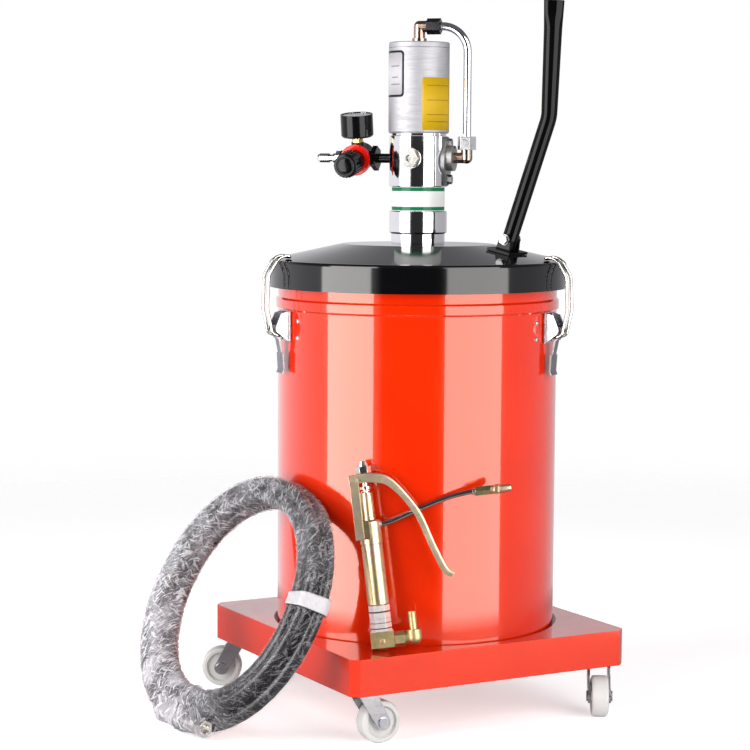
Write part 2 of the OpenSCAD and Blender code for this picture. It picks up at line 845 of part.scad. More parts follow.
module bail_wire() {
  p = bail_points();
  last = len(p) - 1;
  path = rounded(concat(
    [[p[0][0], -bail_inner, p[0][1]]],
    [for (q = p) [q[0], -bail_half, q[1]]],
    [for (i = [last:-1:0]) [p[i][0], bail_half, p[i][1]]],
    [[p[0][0], bail_inner, p[0][1]]]
  ), bail_bend);
  swept(path, [0, 0, 1], wire_r, bail_sides);
}
module latch_bail(i) { color("silver") at_latch(i) bail_wire(); }

// Handle
handle_bend = [handle_foot_r + handle_reach, handle_z + handle_bend_h];
handle_half_turn = (handle_lean - handle_top_lean) / 2;
handle_tangent = handle_bend_r * tan(handle_half_turn);
function handle_path() = let (
    low = [sin(handle_lean), cos(handle_lean)],
    high = [sin(handle_top_lean), cos(handle_top_lean)],
    start = handle_bend - low * handle_tangent,
    side = [-cos(handle_lean), sin(handle_lean)],
    centre = start + side * handle_bend_r
  ) concat(
    [[handle_foot_r, handle_z]],
    [for (k = [0:5]) let (a = -handle_lean + k / 5 * (handle_lean - handle_top_lean))
      centre + handle_bend_r * [cos(a), sin(a)]],
    [for (k = [1:5]) handle_bend + high * (handle_top_h - flat_len) * max(k / 5, 0.2)],
    [for (k = [1:5]) handle_bend + high * (handle_top_h - flat_len + flat_len * k / 5)]
  );
function handle_wide(i, count) = handle_r + (handle_flat_w / 2 - handle_r) * max(0, (i - 6) / (count - 7));
function handle_deep(i, count) = i < count - 6 ? handle_r
  : handle_r + (flat_t / 2 - handle_r) * min(1, (i - count + 6) / 3);
module handle_solid(shrink, drop) {
  path = handle_path();
  count = len(path) - drop;
  full = len(path);
  line = [for (p = path) [p[0], 0, p[1]]];
  along = sides_along(line, [cos(view_turn), sin(view_turn), 0]);
  points = [for (i = [0:count - 1]) each ring_points(line[i], way(line, i), along[i],
    handle_wide(i, full) - shrink, handle_deep(i, full) - shrink, handle_sides)];
  polyhedron(points, tube_faces(count, handle_sides), convexity = 6);
}
view_turn = 33;
module handle_tube() {
  color("black") rotate([0, 0, handle_az]) difference() {
    handle_solid(0, 0);
    translate([handle_foot_r, 0, handle_z]) rotate([0, handle_lean, 0]) {
      translate([0, 0, -cut]) cylinder(r = handle_r - handle_t, h = handle_bend_h / 2);
      translate([0, 0, handle_bolt_z]) along_y() cylinder(r = screw_r + seat, h = handle_d + cut, center = true);
    }
  }
}
// The place of the cross screw, seen in the tilted plane that the bracket stands on
function to_slope(p) = [p[0] * cos(slope_angle) - p[1] * sin(slope_angle),
                        p[0] * sin(slope_angle) + p[1] * cos(slope_angle)];
module handle_bracket() {
  cheek_y = handle_r + seat;
  bolt = to_slope([handle_bolt_z * sin(handle_lean), handle_lift + handle_bolt_z * cos(handle_lean)]);
  cheek_w = handle_r * 0.8;
  low = gap / 2 + bracket_plate / 2;
  color("black") rotate([0, 0, handle_az]) translate([handle_foot_r, 0, foot_z]) rotate([0, slope_angle, 0]) difference() {
    union() {
      translate([0, 0, low]) cube([handle_d + 4 * cheek_t, bracket_foot + 4 * cheek_t, bracket_plate], center = true);
      for (side = [-1, 1]) translate([0, side * (cheek_y + cheek_t / 2), 0]) rotate([90, 0, 0])
        linear_extrude(cheek_t, center = true) polygon([
          [-handle_r, low], [handle_r, low], [bolt[0] + cheek_w, bolt[1]],
          [bolt[0] + cheek_w / 2, bolt[1] + cheek_w * 0.8], [bolt[0] - cheek_w / 2, bolt[1] + cheek_w * 0.8],
          [bolt[0] - cheek_w, bolt[1]]
        ]);
    }
    translate([bolt[0], 0, bolt[1]]) along_y() cylinder(r = screw_r + seat, h = 4 * cheek_y, center = true);
  }
}
module hex_screw(length) {
  translate([0, 0, -length]) cylinder(r = screw_r, h = length);
  cylinder(r = washer_r, h = washer_t);
  translate([0, 0, washer_t]) linear_extrude(screw_head_t) hexagon(screw_head_r);
}
module hex_screws() {
  reach = handle_r + seat + cheek_t;
  color("silver") {
    rotate([0, 0, handle_az]) translate([handle_foot_r, 0, handle_z]) rotate([0, handle_lean, 0])
      translate([0, -reach, handle_bolt_z]) rotate([90, 0, 0]) hex_screw(2 * reach);
    rotate([0, 0, handle_az]) translate([handle_foot_r, 0, handle_z]) rotate([0, handle_lean, 0])
      translate([0, reach, handle_bolt_z]) rotate([-90, 0, 0]) linear_extrude(handle_nut_t) hexagon(screw_head_r);
    rotate([0, 0, cover_az]) for (side = [-1, 1])
      translate([cover_flat + cover_t, 0, cover_mid_z + side * cover_screw_dz]) along_x() hex_screw(cover_screw_len);
  }
}

// Pump column
module pump_collar() {
  color("silver") difference() {
    union() {
      rotate_extrude($fn = 96) polygon([
        [0, plateau_z], [collar_r, plateau_z], [collar_r, ring_z - edge_break], [ring_r, ring_z + edge_break],
        [ring_r, neck_z - edge_break], [ring_r - edge_break, neck_z], [0, neck_z]
      ]);
      rotate([0, 0, outlet_az]) translate([0, 0, outlet_z]) along_x() cylinder(r = outlet_r, h = outlet_x);
    }
    translate([0, 0, plateau_z - cut]) cylinder(r = tube_r + seat, h = tube_top_z - plateau_z + cut);
    translate([0, 0, tube_top_z - cut]) cylinder(r = chamber_r, h = neck_z - wall - tube_top_z + cut);
    translate([0, 0, plateau_z]) cylinder(r = rod_r + 6 * seat, h = neck_z - plateau_z + cut);
    rotate([0, 0, outlet_az]) translate([chamber_r - 2 * edge_break, 0, outlet_z]) along_x() {
      cylinder(r = outlet_bore_r * 0.7, h = outlet_x);
      translate([0, 0, outlet_x - outlet_depth - chamber_r + 2 * edge_break]) cylinder(r = outlet_bore_r, h = outlet_depth + cut);
    }
  }
}
module pump_neck() {
  color("white") difference() {
    translate([0, 0, neck_z]) cylinder(r = neck_r, h = neck_h, $fn = 96);
    translate([0, 0, neck_z + wall]) cylinder(r = neck_r - 4 * wall, h = neck_h);
    translate([0, 0, neck_z - cut]) cylinder(r = rod_r + 6 * seat, h = neck_h);
  }
}
module suction_tube() {
  color("silver") difference() {
    translate([0, 0, tube_low_z]) cylinder(r = tube_r, h = tube_top_z - tube_low_z);
    translate([0, 0, tube_low_z - cut]) cylinder(r = tube_r - tube_t, h = tube_top_z - tube_low_z + 2 * cut);
  }
}
module foot_valve() {
  color("silver") {
    difference() {
      translate([0, 0, foot_valve_z]) cylinder(r = foot_valve_r, h = foot_valve_h);
      translate([0, 0, tube_low_z]) cylinder(r = tube_r + seat, h = foot_lap + cut);
      translate([0, 0, foot_valve_z + foot_base_t]) cylinder(r = chamber_r, h = foot_valve_h);
      translate([0, 0, foot_valve_z - cut]) cylinder(r = foot_hole_r, h = foot_valve_h);
      for (a = [0:90:270]) rotate([0, 0, a]) translate([chamber_r - 2 * cut, -slot_w / 2, foot_valve_z - cut])
        cube([foot_valve_r, slot_w, slot_h / 2 + cut]);
    }
    rest = sqrt(pow(ball_r + fit, 2) - pow(foot_hole_r, 2));
    translate([0, 0, foot_valve_z + foot_base_t + rest]) sphere(r = ball_r);
  }
}
module plunger() {
  rod_top = piston_z + piston_h + piston_nut_t;
  color("silver") {
    translate([0, 0, head_z]) cylinder(r = rod_r, h = rod_top - head_z);
    translate([0, 0, head_z]) cylinder(r = tube_r - tube_t - fit, h = head_h);
    translate([0, 0, piston_z - shoulder_t]) cylinder(r = shoulder_r, h = shoulder_t);
  }
}
module air_piston() {
  color("silver") {
    difference() {
      translate([0, 0, piston_z]) rotate_extrude($fn = 96) polygon([
        [rod_r + fit, 0], [air_bore_r - fit, 0], [air_bore_r - fit, piston_h / 2 - piston_groove],
        [air_bore_r - piston_groove, piston_h / 2 - piston_groove],
        [air_bore_r - piston_groove, piston_h / 2 + piston_groove],
        [air_bore_r - fit, piston_h / 2 + piston_groove], [air_bore_r - fit, piston_h],
        [rod_r + fit, piston_h]
      ]);
    }
    translate([0, 0, piston_z + piston_h]) linear_extrude(piston_nut_t) difference() {
      hexagon(shoulder_r);
      circle(r = rod_r + fit);
    }
  }
}
module valve_block() {
  color("silver") difference() {
    union() {
      rotate_extrude($fn = 96) polygon([
        [0, block_z], [block_r - edge_break, block_z], [block_r, block_z + edge_break], [block_r, block_top_z - edge_break],
        [block_r - edge_break, block_top_z], [0, block_top_z]
      ]);
      translate([0, 0, block_top_z - cut]) cylinder(r = spigot_r, h = air_groove + spigot_h + cut, $fn = 96);
    }
    translate([0, 0, block_z - cut]) cylinder(r = rod_r + fit, h = block_h + air_groove + spigot_h + 2 * cut);
    rotate([0, 0, cover_az]) translate([cover_flat, -block_r, block_z - cut])
      cube([block_r, 2 * block_r, block_h + cut]);
    rotate([0, 0, cover_az]) translate([spool_x, 0, block_z + spool_low])
      cylinder(r = spool_r + fit, h = block_h);
    for (side = [-1, 1]) rotate([0, 0, cover_az]) translate([cover_flat + cut, 0, cover_mid_z + side * cover_screw_dz])
      rotate([0, -90, 0]) cylinder(r = screw_r + seat, h = cover_screw_len - cover_t + gap + cut);
    rotate([0, 0, cover_az]) translate([cover_flat + cut, 0, low_elbow_z]) rotate([0, -90, 0])
      cylinder(r = air_tube_r - cart_t, h = port_depth);
    rotate([0, 0, inlet_az]) translate([block_r + cut, 0, inlet_z]) rotate([0, -90, 0])
      cylinder(r = pipe_r + seat, h = pipe_in + cut);
    rotate([0, 0, plug_az]) translate([block_r + cut, 0, inlet_z]) rotate([0, -90, 0]) {
      cylinder(r = port_r + seat, h = port_depth + cut);
      cylinder(r = plug_flange_r, h = cut + plug_sink);
    }
  }
}
module cover_outline() {
  hull() {
    circle(r = cover_half_w);
    for (side = [-1, 1]) translate([side * cover_screw_dz, 0]) circle(r = cover_half_h - cover_screw_dz);
  }
}
module valve_cover() {
  color("lightgray") rotate([0, 0, cover_az]) difference() {
    union() {
      translate([cover_flat, 0, cover_mid_z]) along_x() linear_extrude(cover_t) cover_outline();
      translate([cover_flat, 0, low_elbow_z]) along_x() cylinder(r = boss_r, h = cover_t + boss_t);
    }
    for (side = [-1, 1]) translate([cover_flat - cut, 0, cover_mid_z + side * cover_screw_dz]) along_x()
      cylinder(r = screw_r + seat, h = cover_t + 2 * cut);
    for (side = [-1, 1]) translate([cover_flat + cover_t, 0, cover_mid_z + side * cover_screw_dz]) along_x()
      cylinder(r = washer_r + seat, h = boss_t + cut);
    translate([cover_flat - cut, 0, low_elbow_z]) along_x() cylinder(r = air_tube_r - cart_t, h = cover_t + boss_t + 2 * cut);
    translate([cover_flat + cover_t, 0, low_elbow_z]) along_x() cylinder(r = arm_r + seat, h = boss_t + cut);
  }
}
module valve_spool() {
  color("silver") rotate([0, 0, cover_az]) translate([spool_x, 0, block_z + spool_low + edge_break])
    rotate_extrude($fn = 48) polygon([
      [0, 0], [spool_r, 0], [spool_r, spool_h * 0.25], [spool_waist_r, spool_h * 0.25],
      [spool_waist_r, spool_h * 0.4], [spool_r, spool_h * 0.4], [spool_r, spool_h * 0.6],
      [spool_waist_r, spool_h * 0.6], [spool_waist_r, spool_h * 0.75], [spool_r, spool_h * 0.75],
      [spool_r, spool_h], [0, spool_h]
    ]);
}
module front_plug() {
  face = block_r - plug_sink;
  color("silver") rotate([0, 0, plug_az]) translate([0, 0, inlet_z]) difference() {
    union() {
      translate([face - port_depth + 3 * edge_break, 0, 0]) along_x() cylinder(r = port_r, h = port_depth);
      translate([face, 0, 0]) along_x() cylinder(r = plug_flange_r - seat, h = plug_flange_t);
      translate([face, 0, 0]) along_x() linear_extrude(plug_flange_t + plug_hex_t)
        rotate([0, 0, 90]) hexagon(plug_hex_r);
    }
    translate([face + plug_flange_t + plug_hex_t + cut, 0, 0]) rotate([0, -90, 0])
      linear_extrude(socket_depth + cut) hexagon(socket_r);
  }
}
module air_cylinder() {
  top = air_top_z;
  color("whitesmoke") difference() {
    rotate_extrude($fn = 96) polygon([
      [0, air_z], [air_r - air_chamfer, air_z], [air_r, air_z + air_chamfer],
      [air_r, top - air_chamfer / 2], [air_r - air_chamfer / 2, top], [0, top]
    ]);
    translate([0, 0, air_z - cut]) cylinder(r = air_bore_r, h = air_h - air_cap_t + cut, $fn = 96);
    translate([0, 0, air_z]) cylinder(r = elbow_r - cart_t + seat, h = air_h + cut);
  }
}

// Air line over the top of the cylinder and down its side
module air_elbows() {
  stem = elbow_r - cart_t;
  color("tan") rotate([0, 0, cover_az]) {
    difference() {
      union() {
        translate([0, 0, air_top_z - cap_spigot]) cylinder(r = stem, h = cap_spigot + elbow_rise);
        translate([0, 0, air_top_z]) cylinder(r = elbow_collar_r, h = elbow_collar_t);
        translate([0, 0, air_top_z]) cylinder(r = elbow_r, h = elbow_rise);
        translate([0, 0, tube_run_z]) sphere(r = elbow_r);
        translate([0, 0, tube_run_z]) along_x() cylinder(r = elbow_r, h = upper_nut_x);
      }
      translate([0, 0, tube_run_z]) along_x() cylinder(r = air_tube_r - cart_t, h = upper_nut_x + cut);
      translate([0, 0, air_top_z - cap_spigot - cut]) cylinder(r = air_tube_r - cart_t, h = cap_spigot + elbow_rise);
    }
    difference() {
      union() {
        translate([cover_flat + cover_t, 0, low_elbow_z]) along_x()
          cylinder(r = arm_r, h = air_tube_x - cover_flat - cover_t);
        translate([air_tube_x, 0, low_elbow_z]) sphere(r = elbow_r);
        translate([air_tube_x, 0, low_elbow_z]) cylinder(r = elbow_r, h = low_elbow_h);
      }
      translate([cover_flat, 0, low_elbow_z]) along_x() cylinder(r = air_tube_r - cart_t, h = air_tube_x - cover_flat);
      translate([air_tube_x, 0, low_elbow_z]) cylinder(r = air_tube_r - cart_t, h = low_elbow_h + cut);
    }
  }
}
module air_tube() {
  run = air_tube_x - air_bend_r;
  color("silver") rotate([0, 0, cover_az]) {
    translate([upper_nut_x, 0, tube_run_z]) along_x() linear_extrude(run - upper_nut_x)
      tube2d(air_tube_r, air_tube_r - cart_t);
    translate([run, 0, tube_run_z - air_bend_r]) rotate([90, 0, 0]) rotate_extrude(angle = 90, $fn = 96)
      translate([air_bend_r, 0]) tube2d(air_tube_r, air_tube_r - cart_t);
    low = low_elbow_z + low_elbow_h;
    translate([air_tube_x, 0, low]) linear_extrude(tube_run_z - air_bend_r - low)
      tube2d(air_tube_r, air_tube_r - cart_t);
  }
}
module tube_nuts() {
  color("silver") rotate([0, 0, cover_az]) {
    translate([upper_nut_x, 0, tube_run_z]) along_x() linear_extrude(upper_nut_len) difference() {
      hexagon(tube_nut_r);
      circle(r = air_tube_r + seat);
    }
    translate([air_tube_x, 0, low_elbow_z + low_elbow_h]) linear_extrude(low_nut_len) difference() {
      hexagon(low_nut_r);
      circle(r = air_tube_r + seat);
    }
  }
}

// Air inlet with its regulator and gauge
module inlet_pipe() {
  color("dimgray") at_regulator() {
    translate([block_r - pipe_in, 0, 0]) along_x() cylinder(r = pipe_r, h = pipe_end - block_r + pipe_in - hex_t / 2);
    translate([pipe_end - hex_t, 0, 0]) along_x() linear_extrude(hex_t) hexagon(hex_r);
  }
}
module regulator_body() {
  color("dimgray") at_regulator() {
    translate([reg_x, -reg_back, 0]) along_y() cylinder(r = reg_r, h = reg_back + reg_front);
    translate([reg_x - reg_port_half + (pipe_end - reg_x + reg_port_half), 0, 0]) along_x()
      cylinder(r = reg_port_r, h = reg_x + reg_port_half - pipe_end);
    translate([reg_x, 0, 0]) cylinder(r = gauge_port_r, h = gauge_port_z);
    translate([reg_x, reg_front, 0]) along_y() cylinder(r = bonnet_r, h = lock_t + bonnet_t);
  }
}
module regulator_ring() {
  color("red") at_regulator() translate([reg_x, reg_front + seat, 0]) along_y() difference() {
    cylinder(r = lock_r, h = lock_t);
    translate([0, 0, -cut]) cylinder(r = bonnet_r + seat, h = lock_t + 2 * cut);
  }
}
module regulator_knob() {
  start = reg_front + lock_t + bonnet_t + gap;
  color("black") at_regulator() translate([reg_x, start, 0]) along_y() {
    cylinder(r = knob_r - rib_r, h = knob_len);
    for (k = [0:knob_ribs - 1]) rotate([0, 0, 360 * k / knob_ribs]) translate([knob_r - 1.5 * rib_r, -rib_r / 2, 2 * edge_break])
      cube([1.5 * rib_r, rib_r, knob_len - 4 * edge_break]);
  }
}
module gauge_case() {
  color("black") at_regulator() translate([reg_x, 0, gauge_z]) rotate_extrude($fn = 96) polygon([
    [0, 0], [gauge_r - 2 * edge_break, 0], [gauge_r, 2 * edge_break], [gauge_r, gauge_h], [gauge_r - case_t, gauge_h],
    [gauge_r - case_t, gauge_h - dial_drop], [0, gauge_h - dial_drop]
  ]);
}
module gauge_needle() {
  color("red") at_regulator() translate([reg_x, 0, gauge_z + gauge_h - dial_drop]) rotate([0, 0, needle_az]) {
    translate([0, 0, gap]) cylinder(r = needle_hub_r, h = 2 * needle_t);
    translate([-needle_hub_r * 2, -needle_w / 2, gap]) cube([needle_len + needle_hub_r * 2, needle_w, needle_t]);
  }
}
module gauge_lens() {
  color([0.85, 0.92, 0.95, 0.5]) at_regulator() translate([reg_x, 0, gauge_z + gauge_h - lens_drop - lens_t])
    cylinder(r = gauge_r - case_t - seat, h = lens_t);
}
module gauge_stem() {
  color("goldenrod") at_regulator() translate([reg_x, 0, gauge_port_z]) {
    cylinder(r = gauge_stem_r, h = gauge_z - gauge_port_z);
    linear_extrude((gauge_z - gauge_port_z) * 0.6) hexagon(gauge_stem_r * 1.35);
  }
}
module air_nipple() {
  start = reg_x + reg_port_half;
  color("silver") at_regulator() translate([start, 0, 0]) along_x() difference() {
    union() {
      linear_extrude(nipple_hex_t) hexagon(nipple_hex_r);
      translate([0, 0, nipple_hex_t]) rotate_extrude($fn = 48) polygon([
        [0, 0], [nipple_r, 0], [nipple_r, nipple_neck], [nipple_neck_r, nipple_neck * 1.3],
        [nipple_neck_r, nipple_neck * 2.1], [nipple_r, nipple_neck * 2.4],
        [nipple_r, nipple_len - nipple_tip], [nipple_neck_r, nipple_len], [0, nipple_len]
      ]);
    }
    translate([0, 0, -cut]) cylinder(r = nipple_bore_r, h = nipple_hex_t + nipple_len + 2 * cut);
  }
}

// Control gun
module gun_body() {
  color("goldenrod") at_gun() difference() {
    union() {
      rotate_extrude($fn = 96) polygon([
        [0, grip_z], [grip_r - 1.5 * edge_break, grip_z], [grip_r, grip_z + 1.5 * edge_break], [grip_r, gun_head_z - seam_t],
        [grip_r - seam_t, gun_head_z - seam_t], [grip_r - seam_t, gun_head_z],
        [gun_head_r, gun_head_z], [gun_head_r, gun_top_z - 2 * edge_break], [gun_head_r - 2 * edge_break, gun_top_z], [0, gun_top_z]
      ]);
      translate([0, nozzle_y, nozzle_z]) along_x() cylinder(r = nozzle_boss_r, h = gun_head_r + cut);
    }
    for (side = [-1, 1]) translate([-gun_head_r - cut, side > 0 ? head_flat : -head_flat - gun_head_r, gun_top_z - yoke_low])
      cube([gun_head_r + cut, gun_head_r, yoke_low + cut]);
    translate([0, 0, gun_top_z - valve_rod_low - rod_travel]) cylinder(r = valve_rod_r + fit, h = valve_rod_low + rod_travel + cut);
    translate([0, 0, grip_z - cut]) cylinder(r = hose_bore_r, h = gun_top_z - valve_rod_low - rod_travel - grip_z + 2 * cut);
    translate([4, nozzle_y, nozzle_z]) along_x() cylinder(r = nozzle_r + seat, h = gun_head_r + cut);
  }
}
module gun_nut() {
  color("silver") at_gun() translate([0, 0, gun_nut_z]) linear_extrude(gun_nut_h) difference() {
    hexagon(gun_hex_r);
    circle(r = stem_r + fit);
  }
}
module gun_swivel() {
  color("silver") at_gun() {
    translate([0, 0, gun_ball_r]) sphere(r = gun_ball_r);
    translate([-block_side, -block_half, block_low]) cube([2 * block_side, 2 * block_half, swivel_hex_z - block_low]);
    translate([0, 0, swivel_hex_z]) linear_extrude(swivel_hex_h) hexagon(gun_hex_r);
    translate([0, 0, swivel_hex_z + swivel_hex_h]) cylinder(r = stem_r, h = stem_len);
    translate([0, 0, gun_ball_r]) along_x() cylinder(r = swivel_arm_r, h = elbow_x);
    translate([swivel_arm_nut[0], 0, gun_ball_r]) along_x()
      linear_extrude(swivel_arm_nut[1] - swivel_arm_nut[0]) hexagon(swivel_arm_nut_r);
    difference() {
      union() {
        translate([elbow_x, 0, gun_ball_r]) sphere(r = elbow_box);
        translate([elbow_x, 0, gun_ball_r]) cylinder(r = elbow_box, h = elbow_box);
        translate([elbow_x, 0, gun_ball_r + elbow_box]) cylinder(r = stub_r, h = stub_len);
      }
      translate([elbow_x, 0, gun_ball_r]) cylinder(r = stub_bore_r, h = elbow_box + stub_len + cut);
    }
  }
}
module gun_yoke() {
  low = gun_top_z - yoke_low;
  color("goldenrod") at_gun() {
    for (side = [-1, 1]) translate([0, side * (head_flat + yoke_t / 2), 0]) rotate([90, 0, 0])
      linear_extrude(yoke_t, center = true) hull() {
        translate([yoke_x - yoke_w / 2, low]) square([yoke_w, yoke_w]);
        translate([yoke_x, yoke_pivot_z]) circle(r = yoke_w / 2);
      }
    reach = head_flat + yoke_t + pivot_head;
    translate([yoke_x, 0, yoke_pivot_z]) along_y() cylinder(r = pivot_r, h = 2 * reach, center = true);
  }
}

// Trigger: a pressed channel that follows a smooth curve through a few places
trigger_shares = [[0, 0], [0.13, -0.008], [0.26, -0.002], [0.40, 0.035], [0.542, 0.174],
                  [0.696, 0.392], [0.808, 0.684], [0.913, 0.925], [1, 1]];
trigger_start = [yoke_x - trigger_h / 2, yoke_pivot_z + strip_t];
trigger_points = [for (s = trigger_shares)
  trigger_start + [s[0] * trigger_reach, -s[1] * trigger_drop]];
curve_steps = 4;
cheek_steps = 6;
function curve_at(p, i, t) = let (
    last = len(p) - 1,
    a = p[max(i - 1, 0)], b = p[i], c = p[min(i + 1, last)], d = p[min(i + 2, last)]
  ) 0.5 * (2 * b + (c - a) * t + (2 * a - 5 * b + 4 * c - d) * t * t
           + (3 * b - a - 3 * c + d) * t * t * t);
trigger_curve = concat(
  [for (i = [0:len(trigger_points) - 2]) for (k = [0:curve_steps - 1])
    curve_at(trigger_points, i, k / curve_steps)],
  [trigger_points[len(trigger_points) - 1]]
);
function normal2(p, i) = let (d = unit(p[min(i + 1, len(p) - 1)] - p[max(i - 1, 0)])) [-d[1], d[0]];
function channel_ring(i) = let (
    at = trigger_curve[i],
    out = normal2(trigger_curve, i),
    half = trigger_h / 2,
    far = i > cheek_steps ? arm_y : strip_half,
    spots = [[-strip_half, half], [far, half], [far, -half], [far - strip_t, -half],
             [far - strip_t, half - strip_t], [strip_t - strip_half, half - strip_t],
             [strip_t - strip_half, -half], [-strip_half, -half]]
  ) [for (q = spots) [at[0] + out[0] * q[1], q[0], at[1] + out[1] * q[1]]];
channel_cap = [[0, 1, 4], [0, 4, 5], [1, 2, 3], [1, 3, 4], [0, 5, 6], [0, 6, 7]];
channel_sides = 8;
module gun_trigger() {
  last = len(trigger_curve) - 1;
  points = [for (i = [0:last]) each channel_ring(i)];
  base = last * channel_sides;
  faces = concat(
    [for (f = channel_cap) [f[2], f[1], f[0]]],
    [for (i = [0:last - 1]) for (k = [0:channel_sides - 1]) let (n = (k + 1) % channel_sides)
      [i * channel_sides + k, i * channel_sides + n, (i + 1) * channel_sides + k]],
    [for (i = [0:last - 1]) for (k = [0:channel_sides - 1]) let (n = (k + 1) % channel_sides)
      [i * channel_sides + n, (i + 1) * channel_sides + n, (i + 1) * channel_sides + k]],
    [for (f = channel_cap) [base + f[0], base + f[1], base + f[2]]]
  );
  color("goldenrod") at_gun() difference() {
    polyhedron(points, faces, convexity = 8);
    translate([yoke_x, 0, yoke_pivot_z]) along_y() cylinder(r = pivot_r + fit, h = 4 * strip_half, center = true);
    translate([0, 0, yoke_pivot_z]) cylinder(r = valve_rod_r + seat, h = trigger_h * 2);
  }
}
module gun_adjuster() {
  web_top = trigger_start[1] + trigger_h / 2 + adjuster_seat;
  color("silver") at_gun() {
    translate([0, 0, valve_rod_top + gap + valve_rod_r]) {
      sphere(r = valve_rod_r);
      cylinder(r = valve_rod_r, h = web_top - valve_rod_top);
    }
    translate([0, 0, web_top]) linear_extrude(adjuster_h * 0.55) hexagon(adjuster_r);
    translate([0, 0, web_top + adjuster_h * 0.55]) cylinder(r1 = adjuster_r * 0.8, r2 = adjuster_r * 0.5, h = adjuster_h * 0.45);
  }
}
module gun_valve_rod() {
  color("silver") at_gun() {
    translate([0, 0, gun_top_z - valve_rod_low]) cylinder(r = valve_rod_r, h = valve_rod_top - gun_top_z + valve_rod_low);
    translate([0, 0, rod_collar_z]) cylinder(r = rod_collar_r, h = rod_collar_t);
  }
}
module gun_spring() {
  low = gun_top_z + gap + spring_wire / 2;
  high = rod_collar_z - gap - spring_wire / 2;
  steps = spring_turns * spring_rings;
  path = [for (i = [0:steps]) [
    spring_r * cos(360 * i / spring_rings), spring_r * sin(360 * i / spring_rings), low + (high - low) * i / steps
  ]];
  color("silver") at_gun() swept(path, [0, 0, 1], spring_wire / 2, spring_sides);
}
nozzle_shares = [[0, 0], [0.06, 0], [0.14, 0.05], [0.28, 0.26], [0.45, 0.53], [0.70, 0.86], [0.90, 1], [1, 1]];
nozzle_inset = 6;
nozzle_start = [gun_head_r - nozzle_inset, nozzle_z];
nozzle_points = [for (s = nozzle_shares)
  nozzle_start + [s[0] * nozzle_reach, s[1] * nozzle_lift]];
nozzle_curve = [for (i = [0:len(nozzle_points) - 2]) for (k = [0:curve_steps - 1])
  curve_at(nozzle_points, i, k / curve_steps)];
module gun_nozzle() {
  tip = nozzle_points[len(nozzle_points) - 1];
  path = [for (p = concat(nozzle_curve, [tip])) [p[0], nozzle_y, p[1]]];
  color("silver") at_gun() {
    swept(path, [0, 1, 0], nozzle_r, 12);
    translate([tip[0], nozzle_y, tip[1]]) along_x() difference() {
      union() {
        translate([0, 0, -nozzle_r]) linear_extrude(coupler_len * 0.4 + nozzle_r) hexagon(coupler_r);
        cylinder(r = coupler_r, h = coupler_len);
        translate([0, 0, coupler_len]) cylinder(r1 = coupler_r * 0.9, r2 = coupler_tip_r, h = coupler_tip);
      }
      translate([0, 0, coupler_len + coupler_tip - mouth_depth]) cylinder(r = mouth_r, h = mouth_depth + cut);
    }
  }
}

// Hose
module hose_coil() {
  color("black") at_coil() swept(coil_path, [0, 0, 1], hose_r, hose_sides);
}
module hose_fitting() {
  difference() {
    union() {
      cylinder(r = ferrule_r, h = ferrule_len);
      translate([0, 0, ferrule_len]) linear_extrude(union_len) rotate([0, 0, 30]) hexagon(union_r);
    }
    translate([0, 0, ferrule_len]) cylinder(r = union_bore_r, h = union_len + cut);
  }
}
module hose_fittings() {
  color("silver") at_coil() {
    translate(coil_path[0]) rotate([90, 0, 0]) hose_fitting();
    translate(coil_path[len(coil_path) - 1]) rotate([-90, 0, 0]) hose_fitting();
  }
}

cart_base();
caster_stems();
caster_fork(1);  // caster_fork_1
caster_fork(2);  // caster_fork_2
caster_fork(3);  // caster_fork_3
caster_fork(4);  // caster_fork_4
caster_wheel(1);  // caster_wheel_1
caster_wheel(2);  // caster_wheel_2
caster_wheel(3);  // caster_wheel_3
caster_wheel(4);  // caster_wheel_4
drum();
lid_gasket();
lid();
follower_plate();
follower_seal();
latch_brackets();
latch_pins();
latch_lever(1);  // latch_lever_1
latch_lever(2);  // latch_lever_2
latch_lever(3);  // latch_lever_3
latch_bail(1);  // latch_bail_1
latch_bail(2);  // latch_bail_2
latch_bail(3);  // latch_bail_3
handle_tube();
handle_bracket();
hex_screws();
pump_collar();
pump_neck();
suction_tube();
foot_valve();
plunger();
air_piston();
valve_block();
valve_cover();
valve_spool();
front_plug();
air_cylinder();
air_elbows();
air_tube();
tube_nuts();
inlet_pipe();
regulator_body();
regulator_ring();
regulator_knob();
gauge_case();
gauge_needle();
gauge_lens();
gauge_stem();
air_nipple();
gun_body();
gun_nut();
gun_swivel();
gun_yoke();
gun_trigger();
gun_adjuster();
gun_valve_rod();
gun_spring();
gun_nozzle();
hose_coil();
hose_fittings();
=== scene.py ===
# %% [markdown]
# # A mobile grease pump, dressed for the camera
#
# The solids of this pump were drawn in CAD and packed as a fixed frame: every part already has
# its shape, its size and its place. This file is a lesson in what comes after that. It sets up
# the camera, the light and the floor, gives each part the finish of the real thing, and adds
# what a CAD model leaves out: a wrapped hose, labels, a printed dial, smooth bent tubes.
#
# Read it from the top. Each step starts with a few words on what the piece is and why it is
# made this way, and the code cell below prints what it made.

